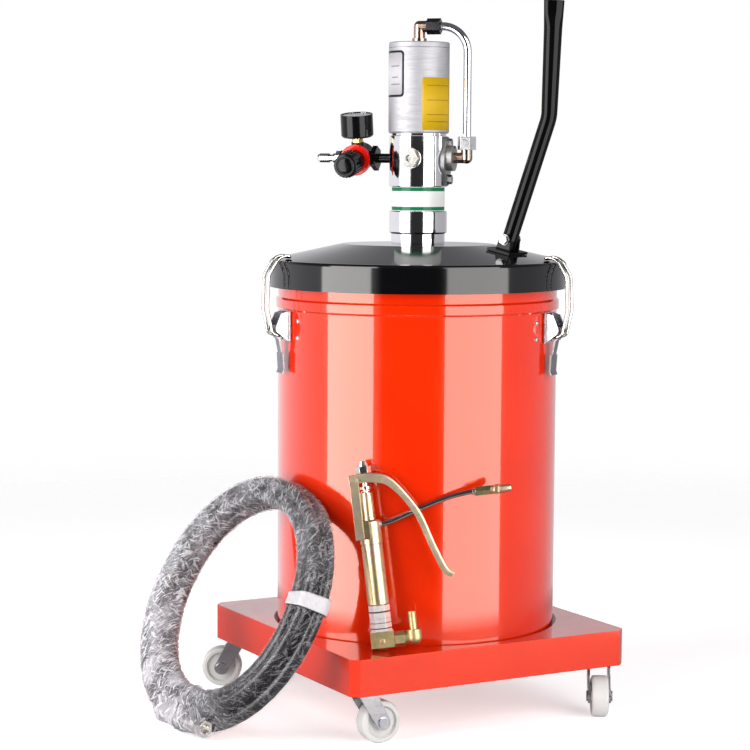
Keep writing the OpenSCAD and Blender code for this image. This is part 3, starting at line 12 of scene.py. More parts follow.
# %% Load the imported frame
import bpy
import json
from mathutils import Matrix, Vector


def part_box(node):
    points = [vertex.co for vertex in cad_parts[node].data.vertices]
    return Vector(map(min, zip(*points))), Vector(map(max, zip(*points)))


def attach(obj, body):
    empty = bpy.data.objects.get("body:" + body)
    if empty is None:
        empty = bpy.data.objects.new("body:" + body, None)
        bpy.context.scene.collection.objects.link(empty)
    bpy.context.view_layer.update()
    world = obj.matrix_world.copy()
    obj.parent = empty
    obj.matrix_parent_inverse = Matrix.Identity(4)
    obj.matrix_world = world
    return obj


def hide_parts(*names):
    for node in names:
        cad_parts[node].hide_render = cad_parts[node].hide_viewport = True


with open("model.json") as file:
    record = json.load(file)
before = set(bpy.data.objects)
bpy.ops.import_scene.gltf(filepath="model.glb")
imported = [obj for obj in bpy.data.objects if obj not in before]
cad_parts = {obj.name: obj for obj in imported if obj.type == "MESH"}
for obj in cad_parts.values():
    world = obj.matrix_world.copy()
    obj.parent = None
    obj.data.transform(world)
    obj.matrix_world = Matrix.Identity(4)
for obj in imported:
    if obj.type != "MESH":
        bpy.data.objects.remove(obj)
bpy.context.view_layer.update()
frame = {"nodes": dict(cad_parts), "record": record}

# %% [markdown]
# Blender works in metres and the drawing office works in millimetres. One factor, `MM`, turns
# the one into the other, so every size below can be written the way it stands on a drawing.
# An object only shows in the picture once a collection holds it, which `linked` sees to.

# %% Tools and units
import json
import math

import bmesh
import bpy
from mathutils import Matrix, Vector, noise

MM = 0.001
scene = bpy.context.scene


def span(node):
    """The lowest and the highest corner of a CAD node, in metres."""
    low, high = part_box(node)
    return Vector(low), Vector(high)


def linked(name, data):
    """A new object in the scene that shows this mesh, curve, light or camera."""
    piece = bpy.data.objects.new(name, data)
    scene.collection.objects.link(piece)
    return piece


# %% [markdown]
# ## The camera
#
# The photograph was taken from about 2.7 metres away, 30 degrees to the left of the cart's
# front and a little above the middle. A camera can be aimed with an empty or a constraint, but
# three axes found once by fitting known corners say the view exactly, the slight roll
# included. `VIEW_BACK` points from the pump to the camera on the floor plan, and `VIEW_RIGHT`
# points to the right of the picture. The lights are placed with them later.

# %% Place the camera
EYE = Vector((-1355.06, -2355.71, 663.5)) * MM
LOOK = Vector((0.47988, 0.87230, -0.09384))
RIGHT = Vector((0.87643, -0.48149, 0.00608))
LENS, SENSOR, CLIP_END = 105.6, 36.0, 60.0

lens = bpy.data.cameras.new("studio_camera")
lens.lens, lens.sensor_width, lens.clip_end = LENS, SENSOR, CLIP_END
camera = linked("studio_camera", lens)
up = RIGHT.cross(LOOK).normalized()
axes = Matrix((RIGHT.normalized(), up, -LOOK.normalized())).transposed()
camera.matrix_world = Matrix.Translation(EYE) @ axes.to_4x4()
scene.camera = camera

VIEW_BACK = Vector((EYE.x, EYE.y, 0)).normalized()
VIEW_RIGHT = Vector((-VIEW_BACK.y, VIEW_BACK.x, 0))
VIEW_DEG = math.degrees(math.atan2(VIEW_BACK.y, VIEW_BACK.x))
print("camera", [round(v, 3) for v in EYE], "looks from", round(VIEW_DEG, 1))

# %% [markdown]
# ## The delivery hose
#
# Three and a half metres of 16 mm rubber hose, wound into a ring of four turns that stands on
# the floor and leans on the drum. The route is one line that spirals in over two turns, steps
# across, and spirals out again, so each turn lies beside its neighbour. A curve object with a
# round bevel is the natural way to make a hose: the line is its route, and the bevel depth is
# its radius. The same formula draws the solid in the CAD source.

# %% Route of the hose
HOSE_D = 16.0
PITCH = 16.6
TURNS = 4
COIL_R = 137.7
COIL_OUT = COIL_R + PITCH * TURNS / 4
COIL_LEAN, COIL_AZ = 27.7, 188.0
COIL_X, COIL_Y = -254.2, -14.6
UNION_R = 9.8
STEPS = 40
coil_low = (
    COIL_OUT * math.cos(math.radians(COIL_LEAN))
    + PITCH / 2 * math.sin(math.radians(COIL_LEAN))
    + UNION_R
)
COIL_FRAME = (
    Matrix.Translation((COIL_X, COIL_Y, coil_low))
    @ Matrix.Rotation(math.radians(COIL_AZ), 4, "Z")
    @ Matrix.Rotation(math.radians(90 - COIL_LEAN), 4, "Y")
)


def coil_radius(t):
    """Distance from the ring's axis after t turns: two turns in, then two turns out."""
    return COIL_OUT - PITCH * (TURNS / 2 - abs(t - TURNS / 2))


def coil_layer(t):
    """Height along the ring's axis: the hose steps across in the middle half turn."""
    return PITCH * min(max((t - TURNS / 2) * 2, -0.5), 0.5)


def coil_point(t):
    turn = 2 * math.pi * t
    radius = coil_radius(t)
    return Vector((radius * math.cos(turn), radius * math.sin(turn), coil_layer(t)))


tail = Vector((0, HOSE_D, 0))
route = [coil_point(0) - tail]
route += [coil_point(i / STEPS) for i in range(STEPS * TURNS + 1)]
route += [coil_point(TURNS) + tail]
route = [(COIL_FRAME @ p) * MM for p in route]

# %% Draw the hose as a curve
def tube_curve(name, points, radius):
    """One open spline through the points, with a round bevel whose radius is the points' own."""
    line = bpy.data.curves.new(name, "CURVE")
    line.dimensions = "3D"
    line.bevel_depth = 1.0
    line.bevel_resolution = 6
    line.use_fill_caps = True
    spline = line.splines.new("POLY")
    spline.points.add(len(points) - 1)
    for spot, p in zip(spline.points, points):
        spot.co = (*p, 1.0)
        spot.radius = radius
    spline.use_smooth = True
    return linked(name, line)


hose = tube_curve("delivery_hose", route, HOSE_D / 2 * MM)
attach(hose, "pump_frame")
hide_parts("hose_coil")
print("hose curve made")

# %% [markdown]
# The ring is still in its packing: a clear film is wound round the bundle, and one strip of
# white tape holds it. Stretched film follows the outside of the hoses like a rubber band and
# falls into ridges between them. So its section is worked out at every angle as the tightest
# outline round the hoses that lie there, and noise then pushes ridges out of it. Near the
# ring's lowest point the outline also takes in the two end fittings, and the film's last
# centimetres lap over its start. A cloth simulation could do the same, but it would take
# minutes and give less control over the folds.

# %% Outline of the bundle
END_REACH = 60.0         # how far the fittings reach past the ring's lowest point
PROBES = 72              # directions in which the outline is felt for
SIDE_ON = 0.3            # a probe turned further away than this cosine doesn't bound a spoke


def bundle_centres(angle):
    """Where the hoses cross a plane through the ring's axis: (radius, layer, extra) triples."""
    part = angle / (2 * math.pi)
    spots = [(coil_radius(k + part), coil_layer(k + part), 0.0) for k in range(TURNS)]
    off = angle if angle < math.pi else angle - 2 * math.pi
    past = COIL_OUT * math.tan(off) if abs(off) < 1 else END_REACH
    if abs(past) < END_REACH:
        layer = coil_layer(TURNS if off > 0 else 0)
        spots.append((math.hypot(COIL_OUT, past), layer, UNION_R - HOSE_D / 2))
    return spots


def bundle_outline(angle, clear, spokes):
    """Distances from the bundle's middle to a taut outline, for each spoke."""
    centres = bundle_centres(angle)
    mid_r = sum(c[0] for c in centres[:TURNS]) / TURNS
    mid_z = sum(c[1] for c in centres[:TURNS]) / TURNS
    reach = HOSE_D / 2 + clear
    support = []
    for j in range(PROBES):
        turn = 2 * math.pi * j / PROBES
        out = (math.cos(turn), math.sin(turn))
        far = max((r - mid_r) * out[0] + (z - mid_z) * out[1] + more for r, z, more in centres)
        support.append((turn, far + reach))
    edge = []
    for k in range(spokes):
        turn = 2 * math.pi * k / spokes
        edge.append(min(far / math.cos(turn - probe) for probe, far in support
                        if math.cos(turn - probe) > SIDE_ON))
    return mid_r, mid_z, edge


mid_r, mid_z, edge = bundle_outline(math.pi, 1.0, 24)
print("bundle at its top:", round(2 * min(edge)), "to", round(2 * max(edge)), "mm across")

# %% Build a sleeve along the bundle
BUNDLE_R = 24.0
FLOOR_GAP = 0.6


def piece_from(bm, name, smooth=True, sharp=None):
    """Turns built faces into a piece; in smooth shading, edges past the sharp angle stay hard."""
    mesh = bpy.data.meshes.new(name)
    bm.to_mesh(mesh)
    bm.free()
    if smooth:
        mesh.shade_smooth()
    if sharp:
        mesh.set_sharp_from_angle(angle=math.radians(sharp))
    return linked(name, mesh)


def sleeve(name, start, stop, rows, spokes, clear, fold):
    """A thin tube round the bundle from one angle to another; fold moves each point.

    Its UV map holds metres along the ring and round the bundle, for the finish to use."""
    bm = bmesh.new()
    chart = bm.loops.layers.uv.new("wrap")
    rings = []
    for i in range(rows + 1):
        angle = start + (stop - start) * i / rows
        mid_r, mid_z, edge = bundle_outline(angle % (2 * math.pi), clear, spokes)
        ring = []
        for k, reach in enumerate(edge):
            turn = 2 * math.pi * k / spokes
            reach += fold(i / rows, turn, angle)
            r, z = mid_r + reach * math.cos(turn), mid_z + reach * math.sin(turn)
            p = COIL_FRAME @ Vector((r * math.cos(angle), r * math.sin(angle), z))
            p.z = max(p.z, FLOOR_GAP)
            ring.append(bm.verts.new(p * MM))
        rings.append(ring)
    step_u = (stop - start) / rows * COIL_R * MM
    step_v = 2 * math.pi * BUNDLE_R / spokes * MM
    for i, (a, b) in enumerate(zip(rings, rings[1:])):
        for k in range(spokes):
            n = (k + 1) % spokes
            wall = bm.faces.new((a[k], a[n], b[n], b[k]))
            for loop, (u, v) in zip(wall.loops, ((i, k), (i, k + 1), (i + 1, k + 1), (i + 1, k))):
                loop[chart].uv = (start * COIL_R * MM + u * step_u, v * step_v)
    bmesh.ops.recalc_face_normals(bm, faces=bm.faces)
    return piece_from(bm, name)


def ridge(x, y, z):
    """Sharp-crested noise that peaks at 1, like the crease of a pinched film."""
    return 1.0 - abs(noise.noise(Vector((x, y, z)))) * 2.2


SLANT = 0.55                                 # how far a crease leans as it goes round
CREASE_STEP, CREASE_H = 7.5, 1.5             # from crease to crease, and how high they stand
WAVE_STEP, WAVE_H = 30.0, 0.7
LOOSE_PART, LOOSE_LIFT = 0.025, 1.6          # the share of the film that stands off at its end


def film_fold(along_share, turn, angle):
    """Short creases that run slantwise over the bundle, broad waves, and a looser end."""
    slant = angle * COIL_R + turn * BUNDLE_R * SLANT
    crease = max(0.0, ridge(slant / CREASE_STEP, math.cos(turn) * 1.6, math.sin(turn) * 1.6))
    broad = noise.noise(Vector((slant / WAVE_STEP, math.cos(turn) * 1.4, math.sin(turn) * 1.4)))
    loose = max(0.0, (along_share - (1 - LOOSE_PART)) / LOOSE_PART)
    return CREASE_H * crease ** 2 + WAVE_H * broad + loose * (LOOSE_LIFT + 1.2 * broad)


FILM_FROM, FILM_TO = math.radians(-4), math.radians(361)
film = sleeve("wrapping_film", FILM_FROM, FILM_TO, rows=640, spokes=72, clear=0.6,
              fold=film_fold)
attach(film, "pump_frame")
print("film:", len(film.data.polygons), "faces")

# %% [markdown]
# The tape is a short, tight sleeve over the film, with its own thickness from a Solidify
# modifier. Its creases are fewer and rounder, because tape is stiffer than film.

# %% Tape round the bundle
def tape_fold(along_share, turn, angle):
    """Half a millimetre of slow waves."""
    return 0.5 * noise.noise(Vector((angle * 30, math.cos(turn) * 2, math.sin(turn) * 2)))


def thicken(piece, name, thickness, offset):
    """A Solidify modifier that gives a sheet its thickness, in millimetres."""
    skin = piece.modifiers.new(name, "SOLIDIFY")
    skin.thickness, skin.offset = thickness * MM, offset


TAPE_AT, TAPE_HALF = math.radians(98), math.radians(3.4)
tape = sleeve("tape_band", TAPE_AT - TAPE_HALF, TAPE_AT + TAPE_HALF, rows=14, spokes=64,
              clear=2.9, fold=tape_fold)
thicken(tape, "thickness", 0.25, 0)
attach(tape, "pump_frame")

# %% [markdown]
# ## Floor, light and backdrop
#
# A material is a small graph of nodes. These helpers add one node each and hand back the
# socket it puts out, so a graph can be written as nested calls. Every input may be a plain
# number or the output of another node: `feed` tells the two apart.

# %% Node helpers
def new_material(name):
    """An empty material with one Principled shader, ready to be wired."""
    material = bpy.data.materials.new(name)
    material.use_nodes = True
    tree = material.node_tree
    tree.nodes.clear()
    shader = tree.nodes.new("ShaderNodeBsdfPrincipled")
    output = tree.nodes.new("ShaderNodeOutputMaterial")
    tree.links.new(shader.outputs["BSDF"], output.inputs["Surface"])
    return material, tree, shader


def feed(tree, socket, value):
    """Links an input to another node's output, or gives it a plain number or colour."""
    if isinstance(value, bpy.types.NodeSocket):
        tree.links.new(value, socket)
    else:
        socket.default_value = value


def fill(node, **values):
    """Sets inputs by name; a space in a socket's name is written as an underscore."""
    for label, value in values.items():
        node.inputs[label.replace("_", " ")].default_value = value


def math_node(tree, operation, *values, clamp=False):
    node = tree.nodes.new("ShaderNodeMath")
    node.operation, node.use_clamp = operation, clamp
    for socket, value in zip(node.inputs, values):
        feed(tree, socket, value)
    return node.outputs[0]


def vector_node(tree, operation, *values):
    """A Vector Math node; a length or a dot product comes out as one number."""
    node = tree.nodes.new("ShaderNodeVectorMath")
    node.operation = operation
    for socket, value in zip(node.inputs, values):
        feed(tree, socket, value)
    return node.outputs["Value" if operation in ("LENGTH", "DOT_PRODUCT") else "Vector"]


def map_range(tree, value, low, high, to_low=0.0, to_high=1.0, ease="SMOOTHSTEP"):
    """0 to 1 while the value goes from low to high, as a soft step unless ease says otherwise."""
    node = tree.nodes.new("ShaderNodeMapRange")
    node.interpolation_type = ease
    for label, number in (("Value", value), ("From Min", low), ("From Max", high),
                          ("To Min", to_low), ("To Max", to_high)):
        feed(tree, node.inputs[label], number)
    return node.outputs["Result"]


def mix_colour(tree, factor, a, b):
    """Colour a where the factor is 0, and colour b where it is 1."""
    node = tree.nodes.new("ShaderNodeMix")
    node.data_type = "RGBA"
    for label, value in (("Factor", factor), ("A", a), ("B", b)):
        feed(tree, node.inputs[label], value)
    return node.outputs["Result"]


def object_place(tree):
    """Where the shaded point lies, in the metres of its own object."""
    return tree.nodes.new("ShaderNodeTexCoord").outputs["Object"]


print("node helpers ready")

# %% [markdown]
# A studio floor that ends in a line behind the subject spoils the picture, so this one is a
# disc that thins out to nothing: near the pump it is a real surface that takes shadows, and
# further out its alpha falls to zero and the white world shows through.
#
# A photographer would keep the floor out of the gloss paint with black cards. Here the Light
# Path node does that work. It says which kind of ray has come, so the floor glows a little
# more for the camera, is darker in reflections, and lets reflected rays pass beyond 0.85
# metres, so that gloss sees the softboxes reach down behind it.

# %% Floor disc
FLOOR_NEAR, FLOOR_FAR, FLOOR_R = 0.9, 2.6, 3.0
GLOSS_NEAR, GLOSS_FAR = 0.72, 0.85
FLOOR_GLOW, CAMERA_GLOW = 0.12, 0.36
FLOOR_WHITE, FLOOR_MIRRORED = (0.93, 0.93, 0.94, 1), (0.22, 0.21, 0.22, 1)

bm = bmesh.new()
bmesh.ops.create_circle(bm, cap_ends=True, segments=96, radius=FLOOR_R)
floor = piece_from(bm, "studio_floor", smooth=False)

pale, tree, shader = new_material("pale_floor")
fill(shader, Roughness=0.5, Emission_Color=(1, 1, 1, 1))
ray = tree.nodes.new("ShaderNodeLightPath").outputs
feed(tree, shader.inputs["Emission Strength"],
     math_node(tree, "MULTIPLY_ADD", ray["Is Camera Ray"], CAMERA_GLOW, FLOOR_GLOW))
reach = vector_node(tree, "LENGTH", object_place(tree))
fade = map_range(tree, reach, FLOOR_NEAR, FLOOR_FAR, 1.0, 0.0, "SMOOTHERSTEP")
distant = map_range(tree, reach, GLOSS_NEAR, GLOSS_FAR, ease="LINEAR")
unseen = math_node(tree, "MULTIPLY", distant, ray["Is Glossy Ray"])
feed(tree, shader.inputs["Alpha"],
     math_node(tree, "MULTIPLY", fade, math_node(tree, "SUBTRACT", 1.0, unseen)))
feed(tree, shader.inputs["Base Color"],
     mix_colour(tree, ray["Is Glossy Ray"], FLOOR_WHITE, FLOOR_MIRRORED))
floor.data.materials.append(pale)
print("floor disc", FLOOR_R, "m")

# %% [markdown]
# Two tall softboxes make the picture: gloss paint and chrome show the light itself, as the
# pale bands down the drum. A band's place on a round drum says where its light stands, since
# the reflection turns twice as far as the surface. The left box spans 34 to 75 degrees from
# the camera, the right one 21 to 70, and the left one is the stronger. Both reach below the
# floor, which gloss looks through, so the bands run down to the foot of the drum.

# %% Two softboxes
LIGHT_FAR, LIGHT_FOOT, LIGHT_TALL = 2.2, -1.3, 3.8


def softbox(name, angle, half, power_density):
    """A tall area light that faces the pump, unseen by the camera itself."""
    lamp = bpy.data.lights.new(name, "AREA")
    lamp.shape = "RECTANGLE"
    lamp.size = 2 * LIGHT_FAR * math.tan(math.radians(half))
    lamp.size_y = LIGHT_TALL
    lamp.energy = power_density * lamp.size * lamp.size_y
    lamp.color = (1.0, 0.98, 0.96)
    box = linked(name, lamp)
    turn = math.radians(angle)
    side = VIEW_BACK * math.cos(turn) + VIEW_RIGHT * math.sin(turn)
    box.location = side * LIGHT_FAR + Vector((0, 0, LIGHT_FOOT + LIGHT_TALL / 2))
    box.rotation_euler = (-side).to_track_quat("-Z", "Y").to_euler()
    box.visible_camera = False
    return box


left_box = softbox("softbox_left", angle=-54.5, half=20.5, power_density=21.0)
right_box = softbox("softbox_right", angle=46.0, half=24.5, power_density=15.0)
print("softboxes", round(left_box.data.energy), "W and", round(right_box.data.energy), "W")

# %% [markdown]
# The world has two jobs. To the camera it is plain white paper. To everything else it is the
# room: white at the sides, a little greyer behind, and dark round the camera, which gives
# chrome its dark core. The Light Path node tells the two apart. The room is painted by direction
# only, so it stays put when another view is taken. Its shades go round in degrees from the
# camera, with a faint lavender tint, and a dim ceiling closes it above.

# %% Room and backdrop
ROOM_SHADES = [
    (-180, 0.80), (-150, 0.95), (-112, 1.00), (-75, 0.95), (-34, 0.80), (-28, 0.03),
    (18, 0.03), (25, 0.60), (70, 0.55), (96, 0.50), (130, 0.48), (180, 0.65),
]
CEILING_LOW, CEILING_HIGH, CEILING_SHADE = 0.22, 0.58, (0.12, 0.12, 0.13, 1)


def colour_ramp(tree, factor, steps):
    """A ramp through (position, colour) pairs."""
    node = tree.nodes.new("ShaderNodeValToRGB")
    tree.links.new(factor, node.inputs["Fac"])
    stops = node.color_ramp.elements
    while len(stops) < len(steps):
        stops.new(0.5)
    for stop, (where, colour) in zip(stops, steps):
        stop.position, stop.color = where, colour
    return node.outputs["Color"]


room = bpy.data.worlds.new("studio_room")
scene.world = room
room.use_nodes = True
tree = room.node_tree
tree.nodes.clear()
direction = tree.nodes.new("ShaderNodeTexCoord").outputs["Generated"]
rightward, backward, upward = (
    vector_node(tree, "DOT_PRODUCT", direction, axis)
    for axis in (VIEW_RIGHT, VIEW_BACK, Vector((0, 0, 1)))
)
swing = math_node(tree, "ARCTAN2", rightward, backward)
share = math_node(tree, "MULTIPLY_ADD", swing, 1 / (2 * math.pi), 0.5)
walls = colour_ramp(tree, share, [
    (angle / 360 + 0.5, (shade, shade * 0.985, shade * 1.03, 1)) for angle, shade in ROOM_SHADES
])
rise = map_range(tree, upward, CEILING_LOW, CEILING_HIGH, ease="LINEAR")

paper = tree.nodes.new("ShaderNodeBackground")
paper.inputs["Color"].default_value = (1, 1, 1, 1)
studio = tree.nodes.new("ShaderNodeBackground")
feed(tree, studio.inputs["Color"], mix_colour(tree, rise, walls, CEILING_SHADE))
ray = tree.nodes.new("ShaderNodeLightPath").outputs
choose = tree.nodes.new("ShaderNodeMixShader")
world_out = tree.nodes.new("ShaderNodeOutputWorld")
for value, socket in ((ray["Is Camera Ray"], choose.inputs["Fac"]),
                      (studio.outputs["Background"], choose.inputs[1]),
                      (paper.outputs["Background"], choose.inputs[2]),
                      (choose.outputs["Shader"], world_out.inputs["Surface"])):
    tree.links.new(value, socket)
scene.view_settings.view_transform = "Standard"
print("room shades:", len(ROOM_SHADES))

# %% [markdown]
# ## Shared surface effects
#
# Real parts share the same small truths: edges are never knife sharp and wear first, paint has
# a faint orange-peel skin, turned metal has rings, plating drifts in colour, and dust lies on
# what faces up. Each of these is a node group, built once and placed in many materials with
# its own numbers. A group only puts out masks, values, colours and normals. The Principled
# shader itself stays in each material.

# %% A helper that makes a group with named sockets
KINDS = {"value": "NodeSocketFloat", "colour": "NodeSocketColor", "vector": "NodeSocketVector"}


def new_group(name, inputs, outputs):
    """A shader node group; inputs are (name, kind, default), outputs are (name, kind)."""
    group = bpy.data.node_groups.new(name, "ShaderNodeTree")
    for label, kind, default in inputs:
        socket = group.interface.new_socket(label, in_out="INPUT", socket_type=KINDS[kind])
        socket.default_value = default
    for label, kind in outputs:
        group.interface.new_socket(label, in_out="OUTPUT", socket_type=KINDS[kind])
    start = group.nodes.new("NodeGroupInput")
    end = group.nodes.new("NodeGroupOutput")
    return group, start.outputs, end.inputs


def place(tree, group, **values):
    """Puts a group into a material with its own numbers, and hands back what it puts out."""
    node = tree.nodes.new("ShaderNodeGroup")
    node.node_tree = group
    fill(node, **values)
    return node.outputs


def noise_node(tree, where, scale, detail=3.0, roughness=0.5, distortion=0.0):
    node = tree.nodes.new("ShaderNodeTexNoise")
    for label, value in (("Vector", where), ("Scale", scale), ("Detail", detail),
                         ("Roughness", roughness), ("Distortion", distortion)):
        feed(tree, node.inputs[label], value)
    return node.outputs["Fac"]


print("group helpers ready")

# %% [markdown]
# Soft edges: the Bevel node looks round each sharp corner and answers with a rounded normal,
# so a CAD edge catches light as a real one does. Where that normal turns away from the flat
# one there is an edge, and noise breaks the mask up into wear.

# %% Group: soft edges
soft_edges, start, end = new_group(
    "soft_edges",
    [("Radius", "value", 0.0006), ("Wear", "value", 0.5)],
    [("Normal", "vector"), ("Edge", "value")],
)
tree = soft_edges
bevel = tree.nodes.new("ShaderNodeBevel")
bevel.samples = 4
tree.links.new(start["Radius"], bevel.inputs["Radius"])
rounded = bevel.outputs["Normal"]
flat = tree.nodes.new("ShaderNodeNewGeometry").outputs["Normal"]
corner = map_range(tree, vector_node(tree, "DOT_PRODUCT", rounded, flat), 0.995, 0.80)
patchy = noise_node(tree, object_place(tree), 190.0, 4.0, 0.6)
worn = math_node(tree, "MULTIPLY", corner, map_range(tree, patchy, 0.42, 0.62))
worn = math_node(tree, "MULTIPLY", worn, start["Wear"], clamp=True)
tree.links.new(rounded, end["Normal"])
tree.links.new(worn, end["Edge"])
print("group", tree.name)

# %% [markdown]
# Paint skin: sprayed enamel dries with a very shallow ripple of a few millimetres. It is only
# height, in metres, and feeds a Bump node. The second output is a slow drift that thins the
# colour a little from place to place.

# %% Group: paint skin
paint_skin, start, end = new_group(
    "paint_skin",
    [("Ripple scale", "value", 260.0), ("Ripple", "value", 1.0), ("Drift scale", "value", 7.0)],
    [("Height", "value"), ("Drift", "value")],
)
tree = paint_skin
ripple = noise_node(tree, object_place(tree), start["Ripple scale"], 2.0, 0.45)
slow = noise_node(tree, object_place(tree), start["Drift scale"], 3.0, 0.5)
tree.links.new(math_node(tree, "MULTIPLY", ripple, start["Ripple"]), end["Height"])
tree.links.new(map_range(tree, slow, 0.35, 0.65), end["Drift"])
print("group", tree.name)

# %% [markdown]
# Turned lines: a lathe leaves fine rings round the axis and a brush leaves lines along it.
# Noise stretched hard in one direction gives both. `Stretch` scales each axis, so a small
# number draws long lines that way.

# %% Group: tool lines
tool_lines, start, end = new_group(
    "tool_lines",
    [("Stretch", "vector", (40.0, 40.0, 2500.0))],
    [("Height", "value"), ("Streak", "value")],
)
tree = tool_lines
stretched = vector_node(tree, "MULTIPLY", object_place(tree), start["Stretch"])
lines = noise_node(tree, stretched, 1.0, 3.0, 0.7)
tree.links.new(lines, end["Height"])
tree.links.new(map_range(tree, lines, 0.3, 0.7), end["Streak"])
print("group", tree.name)

# %% [markdown]
# Handling marks and dust: fingers and rags leave faint smears that change the gloss, and dust
# settles on what faces up. Both are masks; the material decides what they do.

# %% Group: marks and dust
def split(tree, vector):
    """The X, Y and Z parts of a vector."""
    node = tree.nodes.new("ShaderNodeSeparateXYZ")
    tree.links.new(vector, node.inputs[0])
    return node.outputs


marks_and_dust, start, end = new_group(
    "marks_and_dust",
    [("Mark scale", "value", 22.0), ("Marks", "value", 0.5), ("Dust", "value", 0.3)],
    [("Smear", "value"), ("Dust", "value")],
)
tree = marks_and_dust
smear = noise_node(tree, object_place(tree), start["Mark scale"], 5.0, 0.62, 0.8)
smear = map_range(tree, smear, 0.45, 0.72)
tree.links.new(math_node(tree, "MULTIPLY", smear, start["Marks"]), end["Smear"])
facing = tree.nodes.new("ShaderNodeNewGeometry").outputs["Normal"]
upward = map_range(tree, split(tree, facing)["Z"], 0.45, 0.98)
specks = map_range(tree, noise_node(tree, object_place(tree), 900.0, 2.0), 0.45, 0.7)
settled = math_node(tree, "MULTIPLY", upward, specks)
tree.links.new(math_node(tree, "MULTIPLY", settled, start["Dust"]), end["Dust"])
print("group", tree.name)

# %% [markdown]
# Colour drift: plating and chromate are never one colour. Two noises blend three tints, and
# the scale says how small the clouds are. The flecks of the third tint are 2.7 times finer.

# %% Group: colour drift
colour_drift, start, end = new_group(
    "colour_drift",
    [("Main", "colour", (0.7, 0.7, 0.7, 1)), ("Tint", "colour", (0.7, 0.6, 0.7, 1)),
     ("Shade", "colour", (0.5, 0.5, 0.5, 1)), ("Scale", "value", 40.0),
     ("Amount", "value", 0.6)],
    [("Color", "colour")],
)
tree = colour_drift
cloud = map_range(tree, noise_node(tree, object_place(tree), start["Scale"], 3.0), 0.42, 0.66)
cloud = math_node(tree, "MULTIPLY", cloud, start["Amount"])
first = mix_colour(tree, cloud, start["Main"], start["Tint"])
finer = math_node(tree, "MULTIPLY", start["Scale"], 2.7)
fleck = map_range(tree, noise_node(tree, object_place(tree), finer, 4.0, 0.6), 0.52, 0.72)
fleck = math_node(tree, "MULTIPLY", fleck, start["Amount"])
tree.links.new(mix_colour(tree, fleck, first, start["Shade"]), end["Color"])
print("group", tree.name)

# %% [markdown]
# ## Finishes
#
# Three small makers cover most of the pump: enamel over steel, plated or bare metal, and
# moulded plastic or rubber. Each one wires the groups to a Principled shader; every number
# that is the same all over the surface is set on the shader itself. All three lay dust over
# the colour last and let smears dull the gloss, and `surface` wires the results.

# %% Wiring helpers
FINISHES = {}


def bump(tree, shader, height, distance, normal=None):
    """A Bump node between a height and the shader; distance is in metres."""
    node = tree.nodes.new("ShaderNodeBump")
    fill(node, Strength=1.0, Distance=distance)
    tree.links.new(height, node.inputs["Height"])
    if normal is not None:
        tree.links.new(normal, node.inputs["Normal"])
    tree.links.new(node.outputs["Normal"], shader.inputs["Normal"])


def surface(tree, shader, base, rough, height, distance, normal=None):
    """Wires a colour, a roughness and a relief to the shader."""
    tree.links.new(base, shader.inputs["Base Color"])
    tree.links.new(rough, shader.inputs["Roughness"])
    bump(tree, shader, height, distance, normal)


def enamel(name, colour, deep, worn, ripple=1.0, edge=0.0008, wear=0.35, dust=0.12,
           coat=1.0, haze=0.03, glow=0.0):
    """Glossy paint: a coloured coat, thin at worn edges, under a clear gloss.

    coat is how much of the clear gloss there is and haze its roughness; glow is the strength
    of a second, warm-tinted reflection from the pigment under it. Lengths are in metres."""
    material, tree, shader = new_material(name)
    edges = place(tree, soft_edges, Radius=edge, Wear=wear)
    skin = place(tree, paint_skin, Ripple=ripple)
    marks = place(tree, marks_and_dust, Marks=0.6, Dust=dust)
    base = mix_colour(tree, skin["Drift"], colour, deep)
    base = mix_colour(tree, edges["Edge"], base, worn)
    base = mix_colour(tree, marks["Dust"], base, (0.55, 0.5, 0.46, 1))
    rough = math_node(tree, "MULTIPLY_ADD", marks["Smear"], 0.10, 0.17)
    rough = math_node(tree, "ADD", rough, marks["Dust"])
    fill(shader, Specular_IOR_Level=glow, Specular_Tint=(1.0, 0.36, 0.10, 1),
         Coat_Weight=coat, Coat_IOR=1.55, Coat_Roughness=haze)
    surface(tree, shader, base, rough, skin["Height"], 0.00006, edges["Normal"])
    FINISHES[name] = material
    return material, tree, shader


def metal(name, main, tint, shade, rough, scale=40.0, amount=0.6, stretch=(60, 60, 2200),
          lines=0.000012, edge=0.0005, wear=0.5, bright=(0.9, 0.9, 0.9, 1), dust=0.1):
    """Plated or bare metal: drifting colour, tool lines, bright rubbed edges."""
    material, tree, shader = new_material(name)
    edges = place(tree, soft_edges, Radius=edge, Wear=wear)
    drift = place(tree, colour_drift, Main=main, Tint=tint, Shade=shade, Scale=scale,
                  Amount=amount)
    tool = place(tree, tool_lines, Stretch=stretch)
    marks = place(tree, marks_and_dust, Dust=dust)
    base = mix_colour(tree, edges["Edge"], drift["Color"], bright)
    base = mix_colour(tree, marks["Dust"], base, (0.5, 0.48, 0.45, 1))
    value = math_node(tree, "MULTIPLY_ADD", tool["Streak"], rough * 0.35, rough * 0.8)
    value = math_node(tree, "MULTIPLY_ADD", marks["Smear"], 0.12, value)
    fill(shader, Metallic=1.0)
    surface(tree, shader, base, value, tool["Height"], lines, edges["Normal"])
    FINISHES[name] = material
    return material, tree, shader


